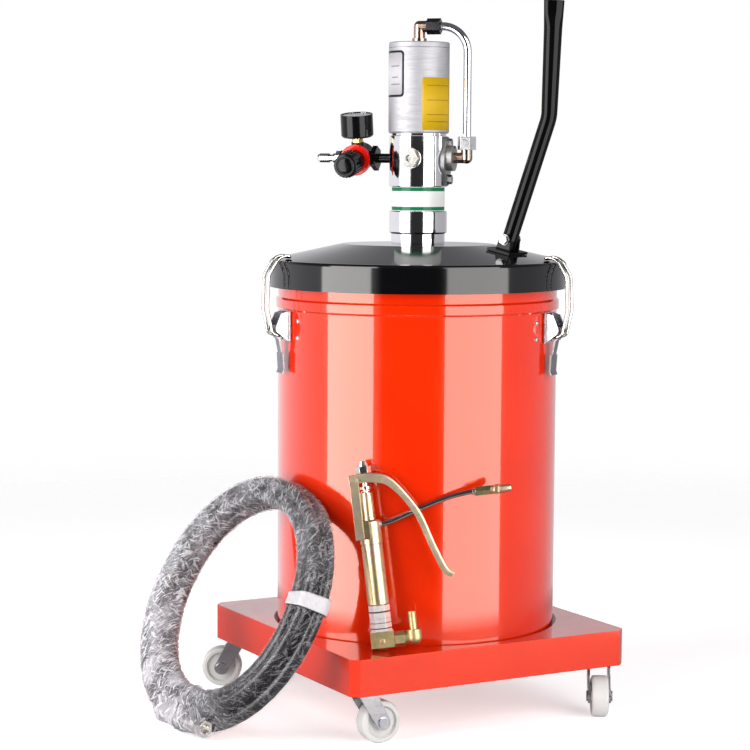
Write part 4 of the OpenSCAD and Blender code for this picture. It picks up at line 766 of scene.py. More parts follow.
def moulded(name, colour, faded, rough, grain=420.0, depth=0.00004, dust=0.15, ior=1.45):
    """Plastic or rubber: a fine moulded grain, paler where it is rubbed or dusty."""
    material, tree, shader = new_material(name)
    edges = place(tree, soft_edges, Radius=0.0006, Wear=0.4)
    skin = place(tree, paint_skin, Ripple_scale=grain, Drift_scale=30.0)
    marks = place(tree, marks_and_dust, Dust=dust)
    base = mix_colour(tree, edges["Edge"], colour, faded)
    base = mix_colour(tree, marks["Dust"], base, (0.45, 0.44, 0.42, 1))
    value = math_node(tree, "MULTIPLY_ADD", marks["Smear"], 0.15, rough)
    fill(shader, IOR=ior)
    surface(tree, shader, base, value, skin["Height"], depth, edges["Normal"])
    FINISHES[name] = material
    return material, tree, shader


def overlay(tree, shader, mask, colour):
    """Lays a colour over what the finish has so far, where the mask is 1."""
    under = shader.inputs["Base Color"].links[0].from_socket
    tree.links.new(mix_colour(tree, mask, under, colour), shader.inputs["Base Color"])


print("finish makers ready")

# %% [markdown]
# The enamels. The vermilion is thick and very glossy, so its coat is a mirror over a strongly
# coloured base, and a warm reflection in the pigment keeps it from turning pink in the light.
# The black of the lid is the same paint without pigment, a little hazier. The handle has only
# a quarter of that clear coat, so it stays black where the lid already mirrors the room.

# %% Enamels
BLACKS = ((0.0012, 0.0012, 0.0015, 1), (0.0018, 0.0018, 0.0022, 1), (0.02, 0.02, 0.02, 1))
enamel("red_enamel", (0.58, 0.017, 0.0004, 1), (0.54, 0.014, 0.0003, 1), (0.60, 0.09, 0.03, 1),
       dust=0.02, glow=0.55, edge=0.0018)
enamel("black_enamel", *BLACKS, dust=0.004, ripple=0.5, haze=0.09)
enamel("handle_black", *BLACKS, dust=0.004, ripple=0.5, coat=0.25, haze=0.05)
print("enamels:", sorted(FINISHES))

# %% [markdown]
# The metals differ in plating. Bright zinc is bluish and a little cloudy, nickel is warmer,
# chrome is nearly a mirror, and the gun's yellow chromate drifts from straw to pink and green,
# as thin chromate films do.

# %% Metals
WARM_WHITE = (0.95, 0.93, 0.90, 1)
STRAW, BLUSH, OLIVE = (0.62, 0.50, 0.27, 1), (0.66, 0.44, 0.38, 1), (0.36, 0.36, 0.17, 1)
NICKEL = ((0.74, 0.72, 0.68, 1), (0.66, 0.62, 0.58, 1), (0.52, 0.51, 0.50, 1))
metal("zinc_steel", (0.62, 0.62, 0.64, 1), (0.50, 0.54, 0.62, 1), (0.38, 0.38, 0.40, 1), 0.20,
      scale=55.0, amount=0.5)
metal("nickel_steel", *NICKEL, 0.18, amount=0.45)
metal("dark_steel", (0.26, 0.26, 0.27, 1), (0.20, 0.20, 0.23, 1), (0.36, 0.34, 0.32, 1), 0.28,
      amount=0.6)
metal("chrome_plate", (0.80, 0.80, 0.82, 1), (0.76, 0.77, 0.80, 1), (0.70, 0.70, 0.72, 1),
      0.07, amount=0.25, lines=0.000003, wear=0.2)
metal("satin_aluminium", (0.88, 0.88, 0.88, 1), (0.84, 0.85, 0.87, 1), (0.78, 0.78, 0.78, 1),
      0.34, scale=18.0, amount=0.4)
metal("warm_nickel", (0.40, 0.28, 0.22, 1), (0.30, 0.23, 0.21, 1), (0.16, 0.11, 0.09, 1), 0.18,
      scale=110.0, amount=0.9)
metal("brass_stem", (0.83, 0.60, 0.24, 1), (0.76, 0.50, 0.20, 1), (0.60, 0.42, 0.18, 1), 0.22)
metal("yellow_zinc", STRAW, BLUSH, OLIVE, 0.34, scale=60.0, amount=0.9, bright=WARM_WHITE,
      dust=0.02)
metal("pressed_zinc", (0.80, 0.68, 0.44, 1), (0.78, 0.60, 0.52, 1), (0.58, 0.58, 0.32, 1), 0.36,
      scale=70.0, amount=0.9, bright=WARM_WHITE, dust=0.0)
print("finishes so far:", len(FINISHES))

# %% [markdown]
# The thin wires of the bails need more. A polished wire mirrors the dark parts of a studio
# along both its flanks, as two fine black lines. The Layer Weight node says how much a point
# faces away from the eye, so the flanks are darkened with it, and a dark specular tint keeps
# glancing reflections from whitening them again.

# %% Bright wire with dark flanks
FLANK_FROM, FLANK_TO = 0.10, 0.42
_, tree, shader = metal("bail_wire", *NICKEL, 0.14, amount=0.45)
facing = tree.nodes.new("ShaderNodeLayerWeight")
fill(facing, Blend=0.5)
overlay(tree, shader, map_range(tree, facing.outputs["Facing"], FLANK_FROM, FLANK_TO),
        (0.015, 0.015, 0.02, 1))
fill(shader, Specular_Tint=(0.05, 0.05, 0.06, 1))
print("wire finish ready")

# %% [markdown]
# The cast side cover has a sand-cast skin: coarse noise in the bump, and a dull grey metal.

# %% Cast metal
metal("cast_aluminium", (0.34, 0.34, 0.34, 1), (0.26, 0.26, 0.27, 1), (0.44, 0.44, 0.43, 1), 0.42,
      scale=90.0, stretch=(600, 600, 600), lines=0.00022)
print("cast skin ready")

# %% [markdown]
# Plastics, nylon and rubber come from the same maker with their own grain and gloss.

# %% Plastics and rubber
moulded("black_rubber", (0.003, 0.003, 0.0035, 1), (0.01, 0.01, 0.01, 1), 0.30, grain=700.0,
        dust=0.02)
moulded("white_nylon", (0.50, 0.50, 0.49, 1), (0.60, 0.60, 0.58, 1), 0.38, dust=0.08)
moulded("black_plastic", (0.0025, 0.0025, 0.003, 1), (0.012, 0.012, 0.012, 1), 0.13, dust=0.01,
        depth=0.00002, ior=1.3)
moulded("red_plastic", (0.62, 0.009, 0.004, 1), (0.66, 0.05, 0.03, 1), 0.16, dust=0.02)
print("moulded finishes ready")

# %% [markdown]
# The band under the valve block is white with two green stripes. Painted stripes are cheapest
# as a mask on height: the material asks how high the surface point is, and two smooth steps
# cut each stripe out. The heights come from the part itself.

# %% White band with green stripes
STRIPE_W, STRIPE_IN, STRIPE_SOFT = 4.4 * MM, 0.8 * MM, 0.15 * MM


def stripe(tree, height, low, high):
    """1 between two heights, 0 outside, with a soft border."""
    rise = map_range(tree, height, low - STRIPE_SOFT, low + STRIPE_SOFT)
    fall = map_range(tree, height, high + STRIPE_SOFT, high - STRIPE_SOFT)
    return math_node(tree, "MULTIPLY", rise, fall)


_, tree, shader = enamel("white_band", (0.62, 0.63, 0.63, 1), (0.57, 0.58, 0.58, 1),
                         (0.45, 0.45, 0.45, 1), ripple=0.5, dust=0.03, coat=0.3)
band_low, band_high = span("pump_neck")
height = split(tree, object_place(tree))["Z"]
masks = [stripe(tree, height, base, base + STRIPE_W)
         for base in (band_low.z + STRIPE_IN, band_high.z - STRIPE_IN - STRIPE_W)]
overlay(tree, shader, math_node(tree, "MAXIMUM", *masks), (0.004, 0.13, 0.05, 1))
print("band from", round(band_low.z / MM), "to", round(band_high.z / MM), "mm")

# %% [markdown]
# The gauge's window is a disc of clear acrylic. Glass keeps its transmission and metallic
# plain, with only a very faint bump. Rays that look for a light pass straight through it, or
# else the dial behind it would lie in the dark.

# %% Clear window
FINISHES["clear_lens"], tree, shader = new_material("clear_lens")
fill(shader, Base_Color=(0.96, 0.98, 0.98, 1), Roughness=0.02, IOR=1.46,
     Transmission_Weight=1.0)
ray = tree.nodes.new("ShaderNodeLightPath").outputs
feed(tree, shader.inputs["Alpha"], math_node(tree, "SUBTRACT", 1.0, ray["Is Shadow Ray"]))
bump(tree, shader, place(tree, paint_skin, Ripple_scale=90.0)["Height"], 0.00001)
print("window ready")

# %% [markdown]
# Every CAD node now gets the finish of its slot. The record says which slot a node has. The
# meshes stay untouched; only the material in their slots changes.

# %% Dress the CAD nodes
def repaint(node, finish):
    """Puts a finish on a CAD node."""
    solid = frame["nodes"][node]
    if not solid.material_slots:
        solid.data.materials.append(finish)
    for spot in solid.material_slots:
        spot.material = finish


for part in frame["record"]["subparts"]:
    repaint(part["node"], FINISHES[part["material_slot"]])

# %% [markdown]
# The foot of the gun is one forging in two platings: the elbow block and its hose stub are
# chromated to an olive gold, and the hexagon and neck above them are nickel. The gun leans, so
# the mask is cut in the gun's own frame: a matrix that is worked out from the same angles as
# in the CAD source. The joints between hexagon, neck and flange are three dark lines in the
# same mask.

# %% The gun's frame
GUN_AZ, GUN_SIDE, GUN_DEPTH = -30.0, -35.4, 200.682
LEAN_SIDE, LEAN_BACK, BALL_R = 7.0, 7.5, 11.0
DECK_TOP = 104.8
lean = math.cos(math.radians(LEAN_SIDE)) * math.cos(math.radians(LEAN_BACK))
GUN_FRAME = (
    Matrix.Rotation(math.radians(GUN_AZ), 4, "Z")
    @ Matrix.Translation((GUN_SIDE, -GUN_DEPTH, DECK_TOP + BALL_R - BALL_R * lean))
    @ Matrix.Rotation(math.radians(-LEAN_BACK), 4, "X")
    @ Matrix.Rotation(math.radians(-LEAN_SIDE), 4, "Y")
)
gun_out = GUN_FRAME.to_3x3() @ Vector((1, 0, 0))
gun_up = GUN_FRAME.to_3x3() @ Vector((0, 0, 1))
gun_foot = GUN_FRAME.translation * MM
print("gun axis", [round(v, 3) for v in gun_up])

# %% Two platings on the gun's foot
OLIVE_TOP, STUB_FROM, PLATING_EDGE = 22.0 * MM, 22.0 * MM, 0.2 * MM
GUN_JOINTS = ((25.0, 1.2), (31.5, 0.8), (44.0, 1.6))       # height and width, in millimetres


def height_in(tree, foot, axis):
    """Distance of a surface point along an axis from a foot point, in metres."""
    shift = vector_node(tree, "SUBTRACT", object_place(tree), foot)
    return vector_node(tree, "DOT_PRODUCT", shift, axis)


foot_finish, tree, shader = metal(
    "gun_foot_platings", (1.0, 0.95, 0.93, 1), (0.95, 0.82, 0.80, 1), (0.75, 0.72, 0.70, 1), 0.46,
    scale=120.0,
)
chromate = place(tree, colour_drift, Main=(0.56, 0.43, 0.22, 1), Tint=(0.36, 0.38, 0.17, 1),
                 Shade=(0.60, 0.36, 0.26, 1), Scale=90.0, Amount=0.9)
gun_height = height_in(tree, gun_foot, gun_up)
gun_reach = height_in(tree, gun_foot, gun_out)
low_part = map_range(tree, gun_height, OLIVE_TOP, OLIVE_TOP - PLATING_EDGE)
stub_part = map_range(tree, gun_reach, STUB_FROM, STUB_FROM + PLATING_EDGE)
overlay(tree, shader, math_node(tree, "MAXIMUM", low_part, stub_part), chromate["Color"])
joints = [stripe(tree, gun_height, low * MM, (low + wide) * MM) for low, wide in GUN_JOINTS]
grooved = math_node(tree, "MAXIMUM", joints[0], math_node(tree, "MAXIMUM", *joints[1:]))
grooved = math_node(tree, "MULTIPLY", grooved, math_node(tree, "SUBTRACT", 1.0, stub_part))
overlay(tree, shader, grooved, (0.06, 0.05, 0.05, 1))
for node in ("gun_swivel", "gun_nut"):
    repaint(node, foot_finish)
print("gun foot split at", OLIVE_TOP / MM, "mm")

# %% [markdown]
# The two nuts of the air tube are not alike: the upper one is blackened steel, the lower one
# is bright. They are one node in the CAD, so a mask on height tells them apart. The trigger and
# its yoke are pressed from sheet and have a duller chromate than the turned barrel, the screws
# are blackened, and the handle's bracket has the same thin black as the handle.

# %% Dark upper nut, dull pressed parts
nut_finish, tree, shader = metal(
    "tube_nut_platings", (0.84, 0.84, 0.85, 1), (0.78, 0.78, 0.80, 1), (0.60, 0.60, 0.62, 1), 0.20,
)
nut_low, nut_high = span("tube_nuts")
middle = (nut_low.z + nut_high.z) / 2
upper = map_range(tree, split(tree, object_place(tree))["Z"], middle, middle + 0.001)
overlay(tree, shader, upper, (0.05, 0.05, 0.055, 1))
for node, finish in (("tube_nuts", nut_finish), ("gun_yoke", FINISHES["pressed_zinc"]),
                     ("hex_screws", FINISHES["dark_steel"]),
                     ("handle_bracket", FINISHES["handle_black"])):
    repaint(node, finish)
print("nuts split at", round(middle / MM), "mm")

# %% [markdown]
# The air cylinder's head is a separate cap with a fine dark joint under it. A groove that thin
# needs no shape of its own: it is a dark line in a mask on height.

# %% Joint line of the cylinder's cap
CAP_T, JOINT_W = 6.5 * MM, 0.5 * MM
cylinder_finish, tree, shader = metal(
    "cylinder_satin", (0.42, 0.42, 0.44, 1), (0.39, 0.39, 0.41, 1), (0.37, 0.37, 0.39, 1), 0.66,
    scale=18.0, amount=0.3, lines=0.000004, stretch=(50, 50, 1400),
)
air_low, air_high = span("air_cylinder")
cap_foot = air_high.z - CAP_T
joint = stripe(tree, split(tree, object_place(tree))["Z"], cap_foot - JOINT_W, cap_foot)
overlay(tree, shader, joint, (0.10, 0.10, 0.11, 1))
repaint("air_cylinder", cylinder_finish)
print("cap joint at", round(cap_foot / MM, 1), "mm")

# %% [markdown]
# ## Hose, film and tape finishes
#
# The hose is smooth black rubber with a faint cloth pattern pressed into its cover.

# %% Rubber of the hose
hose_rubber = moulded("hose_rubber", (0.010, 0.010, 0.011, 1), (0.05, 0.05, 0.05, 1), 0.24,
                      grain=900.0, depth=0.00006, dust=0.05)[0]
hose.data.materials.append(hose_rubber)
print("hose finish ready")

# %% [markdown]
# Packing film is clear, so a taut patch shows only its gloss, and a crease shows white because
# many layers scatter the light. The creases are short slanting strokes across the bundle. The
# sleeve's UV map holds metres along the ring and round it, so noise that is squeezed one way
# and stretched the other, on slanted axes, draws strokes at any place of the ring.

# %% Group: film strokes
def wrap_chart(tree):
    """The parts of the sleeve's UV map: X runs along the ring, Y round the bundle."""
    chart = tree.nodes.new("ShaderNodeUVMap")
    chart.uv_map = "wrap"
    return split(tree, chart.outputs["UV"])


film_strokes, start, end = new_group(
    "film_strokes",
    [("Slant", "value", 0.6), ("Fine", "value", 420.0), ("Long", "value", 70.0),
     ("Seed", "value", 0.0)],
    [("Stroke", "value")],
)
tree = film_strokes
chart = wrap_chart(tree)
wander = noise_node(tree, object_place(tree), 45.0, 2.0)
across = math_node(tree, "MULTIPLY_ADD", chart["Y"], start["Slant"], chart["X"])
across = math_node(tree, "MULTIPLY_ADD", wander, 0.022, across)
join = tree.nodes.new("ShaderNodeCombineXYZ")
tree.links.new(math_node(tree, "MULTIPLY", across, start["Fine"]), join.inputs["X"])
tree.links.new(math_node(tree, "MULTIPLY", chart["Y"], start["Long"]), join.inputs["Y"])
tree.links.new(start["Seed"], join.inputs["Z"])
tree.links.new(noise_node(tree, join.outputs["Vector"], 1.0, 2.0, 0.55), end["Stroke"])
print("group", tree.name)

# %% [markdown]
# The film lies thick round its start and its end, and thinnest where it runs up to the tape,
# so a ramp round the ring says how much of it there is. Three sets of strokes are laid over
# each other: coarse creases, others that cross them, and fine hairs. Their sum becomes the
# film's alpha, and their height its bump.

# %% Clear film with white creases
STROKE_SETS = ((0.75, 330.0, 60.0, 0.0), (-0.50, 280.0, 72.0, 7.3), (0.25, 620.0, 110.0, 3.1))
FILM_LAYERS = [(0.0, 0.75), (0.05, 0.30), (0.10, 0.03), (0.27, 0.03), (0.36, 0.24),
               (0.50, 0.30), (0.66, 0.42), (0.80, 0.70), (0.92, 0.95), (1.0, 0.85)]

film_finish, tree, shader = new_material("clear_film")
fill(shader, Base_Color=(0.58, 0.57, 0.61, 1), IOR=1.5, Roughness=0.14)
strokes = [place(tree, film_strokes, Slant=slant, Fine=fine, Long=long, Seed=seed)["Stroke"]
           for slant, fine, long, seed in STROKE_SETS]
coarse = map_range(tree, strokes[0], 0.54, 0.62)
cross = map_range(tree, strokes[1], 0.57, 0.64)
hairs = map_range(tree, strokes[2], 0.48, 0.66)

ring_share = math_node(tree, "MULTIPLY", wrap_chart(tree)["X"], 1 / (2 * math.pi * COIL_R * MM))
thick = colour_ramp(tree, ring_share, [
    (where, (amount, amount, amount, 1)) for where, amount in FILM_LAYERS
])
patch = map_range(tree, noise_node(tree, object_place(tree), 34.0, 3.0, 0.55), 0.36, 0.64)
veil = math_node(tree, "MULTIPLY", thick, math_node(tree, "MULTIPLY_ADD", patch, 0.45, 0.18))
white = math_node(tree, "MAXIMUM", coarse, math_node(tree, "MULTIPLY", cross, 0.8))
white = math_node(tree, "MULTIPLY", white, math_node(tree, "MULTIPLY_ADD", thick, 0.85, 0.15))
white = math_node(tree, "MULTIPLY_ADD", hairs, math_node(tree, "MULTIPLY", thick, 0.35), white)
cover = math_node(tree, "ADD", math_node(tree, "MULTIPLY", white, 0.85), veil, clamp=True)
side_on = tree.nodes.new("ShaderNodeLayerWeight")
fill(side_on, Blend=0.08)
cover = math_node(tree, "MULTIPLY_ADD", side_on.outputs["Facing"], 0.16, cover, clamp=True)
tree.links.new(cover, shader.inputs["Alpha"])
heights = math_node(tree, "ADD", strokes[0], math_node(tree, "MULTIPLY", strokes[1], 0.7))
depth = math_node(tree, "MULTIPLY_ADD", thick, 0.8, 0.35, clamp=True)
bump(tree, shader, math_node(tree, "MULTIPLY", heights, depth), 0.0016)
film.data.materials.append(film_finish)
print("film finish ready:", len(FILM_LAYERS), "steps of thickness round the ring")

# %% Matt white tape
tape_finish = moulded("white_tape", (0.44, 0.43, 0.45, 1), (0.52, 0.51, 0.53, 1), 0.35,
                      grain=260.0, depth=0.0009)[0]
tape.data.materials.append(tape_finish)
print("tape finish ready")

# %% [markdown]
# ## Labels on the air cylinder
#
# Two printed plates hug the cylinder: a white one in a black outline with three short grey
# rules, and a yellow one with four long amber rules. A wrapped plate is a row of columns: each
# column is as tall as the rounded rectangle at that place, and is set on the cylinder by its
# angle. The columns crowd together at both ends, where the corners are. A thin black plate
# under a slightly smaller white one gives the printed outline.

# %% A plate wrapped on a cylinder
def wrapped_plate(name, centre, width, height, corner, radius, z_mid, columns=48):
    """A rounded rectangle bent round the Z axis; centre is its angle in degrees."""
    bm = bmesh.new()
    before = None
    for i in range(columns + 1):
        x = width * (0.5 - 0.5 * math.cos(math.pi * i / columns)) - width / 2
        past = max(0.0, abs(x) - (width / 2 - corner))
        half = height / 2 - corner + math.sqrt(max(0.0, corner ** 2 - past ** 2))
        turn = math.radians(centre) + x / radius
        spot = Vector((radius * math.cos(turn), radius * math.sin(turn), 0))
        pair = [bm.verts.new((spot + Vector((0, 0, z_mid + side * half))) * MM)
                for side in (-1, 1)]
        if before:
            bm.faces.new((before[0], pair[0], pair[1], before[1]))
        before = pair
    piece = piece_from(bm, name)
    thicken(piece, "foil", 0.08, 1.0)
    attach(piece, "pump_frame")
    return piece


AIR_R = (air_high.x - air_low.x) / 2 / MM
FIRST_R, SECOND_R, THIRD_R = (AIR_R + gap for gap in (0.06, 0.18, 0.30))
WHITE_AT, WHITE_Z = VIEW_DEG - 60.0, 777.2
YELLOW_AT, YELLOW_Z = VIEW_DEG + 44.0, 741.0
RULE_SHIFT = 8.0
GREY_RULES = ((16, 786.5), (12, 773.0), (17, 764.5))       # length and height
AMBER_RULES = (763.0, 745.5, 728.0, 719.5)
rim = wrapped_plate("label_outline", WHITE_AT, 40.0, 56.0, 5.0, FIRST_R, WHITE_Z)
face = wrapped_plate("label_face", WHITE_AT, 34.6, 50.6, 3.0, SECOND_R, WHITE_Z)
rules = [wrapped_plate(f"label_rule_{k}", WHITE_AT + RULE_SHIFT, long, 1.1, 0.4, THIRD_R, height,
                       columns=12)
         for k, (long, height) in enumerate(GREY_RULES, start=1)]
plate = wrapped_plate("yellow_label", YELLOW_AT, 49.3, 63.6, 2.0, FIRST_R, YELLOW_Z)
bars = [wrapped_plate(f"yellow_rule_{k}", YELLOW_AT, 38.0, 0.9, 0.3, SECOND_R, height, columns=24)
        for k, height in enumerate(AMBER_RULES, start=1)]
print("cylinder radius", round(AIR_R, 1), "mm, labels placed")

# %% Printed finishes
def printed(name, colour, faded, rough, *pieces):
    """Ink on foil: flat colour, a little uneven, with faint smears."""
    material, tree, shader = new_material(name)
    skin = place(tree, paint_skin, Ripple_scale=500.0, Drift_scale=60.0)
    marks = place(tree, marks_and_dust, Marks=0.5, Dust=0.05)
    base = mix_colour(tree, skin["Drift"], colour, faded)
    value = math_node(tree, "MULTIPLY_ADD", marks["Smear"], 0.15, rough)
    fill(shader, IOR=1.3)
    surface(tree, shader, base, value, skin["Height"], 0.00002)
    for piece in pieces:
        piece.data.materials.append(material)
    return material


printed("label_black", (0.02, 0.02, 0.022, 1), (0.03, 0.03, 0.03, 1), 0.4, rim)
printed("label_grey", (0.14, 0.13, 0.16, 1), (0.12, 0.12, 0.14, 1), 0.4, *rules)
printed("label_amber", (0.26, 0.13, 0.003, 1), (0.24, 0.12, 0.003, 1), 0.4, *bars)
printed("label_white", (0.42, 0.41, 0.44, 1), (0.40, 0.39, 0.42, 1), 0.3, face)
printed("label_yellow", (0.47, 0.30, 0.004, 1), (0.45, 0.28, 0.004, 1), 0.5, plate)
print("labels printed")

# %% [markdown]
# ## The gauge's dial
#
# The dial is a white disc with a scale from 0 to 10. The ticks are one mesh, spread over 270
# degrees with a formula, and the numbers are text objects turned into place. All of it is
# built flat, then moved by the regulator's own frame, and it rides on the pump.

# %% Dial disc and ticks
REG_AZ, REG_TILT, REG_Z = 135, -10, 675.1
REG_OUT = 77.0           # how far out the regulator's middle lies
REG_FRAME = (
    Matrix.Rotation(math.radians(REG_AZ), 4, "Z")
    @ Matrix.Translation((0, 0, REG_Z))
    @ Matrix.Rotation(math.radians(REG_TILT), 4, "X")
)
DIAL_FRAME = REG_FRAME @ Matrix.Translation((REG_OUT, 0, 48.8))
DIAL_R, DIAL_SWEEP, DIAL_ZERO = 16.6, 270.0, 60.0
TICKS, TICK_OUT = 50, 15.4
LONG_IN, LONG_W, SHORT_IN, SHORT_W = 12.0, 0.8, 13.4, 0.35
FACE_Z, TICK_Z, NUMBER_Z = 0.08, 0.14, 0.16


def flat_piece(name, polygons, z):
    """Thin faces from lists of flat points, in millimetres, moved onto the dial."""
    bm = bmesh.new()
    for points in polygons:
        bm.faces.new([bm.verts.new((DIAL_FRAME @ Vector((x, y, z))) * MM) for x, y in points])
    piece = piece_from(bm, name, smooth=False)
    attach(piece, "pump_frame")
    return piece


def polar(radius, degrees):
    return (radius * math.cos(math.radians(degrees)), radius * math.sin(math.radians(degrees)))


def tick(degrees, inner, width):
    """The corners of one stroke of the scale; it grows wider outward."""
    side = math.degrees(width / 2 / TICK_OUT)
    return [polar(inner, degrees - side), polar(TICK_OUT, degrees - side),
            polar(TICK_OUT, degrees + side), polar(inner, degrees + side)]


disc = flat_piece("dial_face", [[polar(DIAL_R, 360 * k / 72) for k in range(72)]], FACE_Z)
ticks = [
    tick(DIAL_ZERO - DIAL_SWEEP * k / TICKS,
         *((SHORT_IN, SHORT_W) if k % 5 else (LONG_IN, LONG_W)))
    for k in range(TICKS + 1)
]
scale = flat_piece("dial_ticks", ticks, TICK_Z)
printed("dial_white", (0.62, 0.62, 0.61, 1), (0.58, 0.58, 0.57, 1), 0.35, disc)
ink = printed("dial_ink", (0.01, 0.01, 0.01, 1), (0.02, 0.02, 0.02, 1), 0.5, scale)
print("dial:", len(ticks), "ticks")

# %% Numbers on the dial
NUMBER_SIZE, NUMBER_R = 3.4, 9.6
NUMBER_TURN = 195.0      # from the dial's X axis to the direction in which the numbers read
for value in range(0, 11, 2):
    letters = bpy.data.curves.new(f"dial_number_{value}", "FONT")
    letters.body = str(value)
    letters.size = NUMBER_SIZE * MM
    letters.align_x, letters.align_y = "CENTER", "CENTER"
    letters.materials.append(ink)
    number = linked(f"dial_number_{value}", letters)
    x, y = polar(NUMBER_R, DIAL_ZERO - DIAL_SWEEP * value / 10)
    spot = (DIAL_FRAME @ Matrix.Translation((x, y, NUMBER_Z))
            @ Matrix.Rotation(math.radians(NUMBER_TURN), 4, "Z"))
    spot.translation *= MM
    number.matrix_world = spot
    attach(number, "pump_frame")
print("numbers 0 to 10")

# %% [markdown]
# ## Bent pieces, made smooth
#
# In the CAD source a bent tube is a chain of flat facets, which is right for weighing and for
# collisions but shows as hard stripes in gloss paint. Here the same routes are drawn again
# with many more steps and smooth shading, and each new piece replaces its node and rides on
# the same body. A curve with a bevel does for a round wire; a tube whose section changes
# needs its rings placed one by one, which `sweep` does.

# %% A tube with a changing section
def join_rings(bm, rings):
    """Walls between neighbouring rings of as many points each, and a cap at both ends."""
    for low, high in zip(rings, rings[1:]):
        for k in range(len(low)):
            n = (k + 1) % len(low)
            bm.faces.new((low[k], low[n], high[n], high[k]))
    bm.faces.new(rings[0][::-1])
    bm.faces.new(rings[-1])
    bmesh.ops.recalc_face_normals(bm, faces=bm.faces)


def heading(path, i):
    """Direction of a path at one of its points, from neighbour to neighbour."""
    return (path[min(i + 1, len(path) - 1)] - path[max(i - 1, 0)]).normalized()


def sweep(name, path, across, reach, spokes=48):
    """Rings along a path in millimetres. across is a direction; reach gives two half widths."""
    bm = bmesh.new()
    rings = []
    for i, middle in enumerate(path):
        way = heading(path, i)
        a = (across - way * across.dot(way)).normalized()
        b = way.cross(a)
        half_a, half_b = reach(i)
        rings.append([
            bm.verts.new((middle + a * half_a * math.cos(2 * math.pi * k / spokes)
                          + b * half_b * math.sin(2 * math.pi * k / spokes)) * MM)
            for k in range(spokes)
        ])
    join_rings(bm, rings)
    return piece_from(bm, name, sharp=50)


def dressed(piece, finish, slot, body, *nodes):
    """Gives a piece its finish and its body, and hides the nodes that it stands for; slot is not
    used.
    """
    piece.data.materials.append(finish)
    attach(piece, body)
    if nodes:
        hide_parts(*nodes)


print("sweep ready")

# %% [markdown]
# The push handle leaves its bracket leaning out, bends upright, and is pressed flatter towards
# its top: it grows wider one way and thinner the other. Its highest end is closed by pressing,
# so the last rings close in quickly.

# %% Push handle
HANDLE_TURN = Matrix.Rotation(math.radians(-61.5), 4, "Z")
FOOT_R, FOOT_Z, HANDLE_R = 126.0, 568.28, 9.5
RUN, RISE = 55.0, 156.0                      # from the foot to the bend, outward and up
LEAN_LOW, LEAN_HIGH = math.atan2(RUN, RISE), math.radians(2.0)
BEND_R, BEND_STEPS = 45.0, 12
TOP_LEN, STRAIGHT_FROM, STRAIGHT_TO, STRAIGHT_STEPS = 137.0, 8.0, 135.5, 40
FLAT_FROM, FLAT_OVER, FLAT_TURN = 103.0, 20.0, math.radians(33)
WIDER, THINNER = 2.7, 4.0                    # what pressing adds and takes at the top
CLOSING = ((0.7, 0.0), (0.1, 0.7), (0.0, 1.6))       # below the top, and how far it closes in

low_way = Vector((math.sin(LEAN_LOW), 0, math.cos(LEAN_LOW)))
high_way = Vector((math.sin(LEAN_HIGH), 0, math.cos(LEAN_HIGH)))
bend = Vector((FOOT_R + RUN, 0, FOOT_Z + RISE))
tangent = BEND_R * math.tan((LEAN_LOW - LEAN_HIGH) / 2)
centre = bend - low_way * tangent + Vector((-low_way.z, 0, low_way.x)) * BEND_R
line = [Vector((FOOT_R, 0, FOOT_Z))]
for k in range(BEND_STEPS + 1):
    turn = -LEAN_LOW + k / BEND_STEPS * (LEAN_LOW - LEAN_HIGH)
    line.append(centre + BEND_R * Vector((math.cos(turn), 0, math.sin(turn))))
first_flat = len(line)
upper = [(STRAIGHT_FROM + (STRAIGHT_TO - STRAIGHT_FROM) * k / STRAIGHT_STEPS, 0.0)
         for k in range(STRAIGHT_STEPS + 1)]
upper += [(TOP_LEN - below, close) for below, close in CLOSING]
line += [bend + high_way * up for up, close in upper]


def smooth_step(x, low, high):
    t = min(max((x - low) / (high - low), 0.0), 1.0)
    return t * t * (3 - 2 * t)


def handle_reach(i):
    """Half widths of the handle at one of its rings: round below, pressed flat on top."""
    if i < first_flat:
        return HANDLE_R, HANDLE_R
    up, close = upper[i - first_flat]
    swell = 0.5 * min(up / FLAT_FROM, 1) + 0.5 * max(0, (up - FLAT_FROM) / (TOP_LEN - FLAT_FROM))
    press = smooth_step(up, FLAT_FROM, FLAT_FROM + FLAT_OVER)
    return HANDLE_R + WIDER * swell - close, HANDLE_R - THINNER * press - close


flat_way = HANDLE_TURN.to_3x3() @ Vector((math.cos(FLAT_TURN), math.sin(FLAT_TURN), 0))
handle = sweep("push_handle", [HANDLE_TURN @ p for p in line], flat_way, handle_reach)
dressed(handle, FINISHES["handle_black"], "black_enamel", "pump_frame", "handle_tube")
print("handle:", len(handle.data.polygons), "faces, top at", round(line[-1].z), "mm")

# %% [markdown]
# Each latch has a bent wire bail. The wire runs in from one end of the lever's barrel, up over
# the lid's edge, across the hook, and back down. Corners are rounded with short parabolas, and
# a round curve bevel makes the wire.

# %% Wire bails
def round_corners(path, radius, steps=8):
    """The path with each inner corner turned into a short curve."""
    out = [path[0]]
    for before, corner, after in zip(path, path[1:], path[2:]):
        back, on = before - corner, after - corner
        a = corner + back.normalized() * min(radius, back.length * 0.45)
        b = corner + on.normalized() * min(radius, on.length * 0.45)
        for k in range(steps + 1):
            t = k / steps
            out.append(a * (1 - t) ** 2 + corner * 2 * t * (1 - t) + b * t * t)
    return out + [path[-1]]


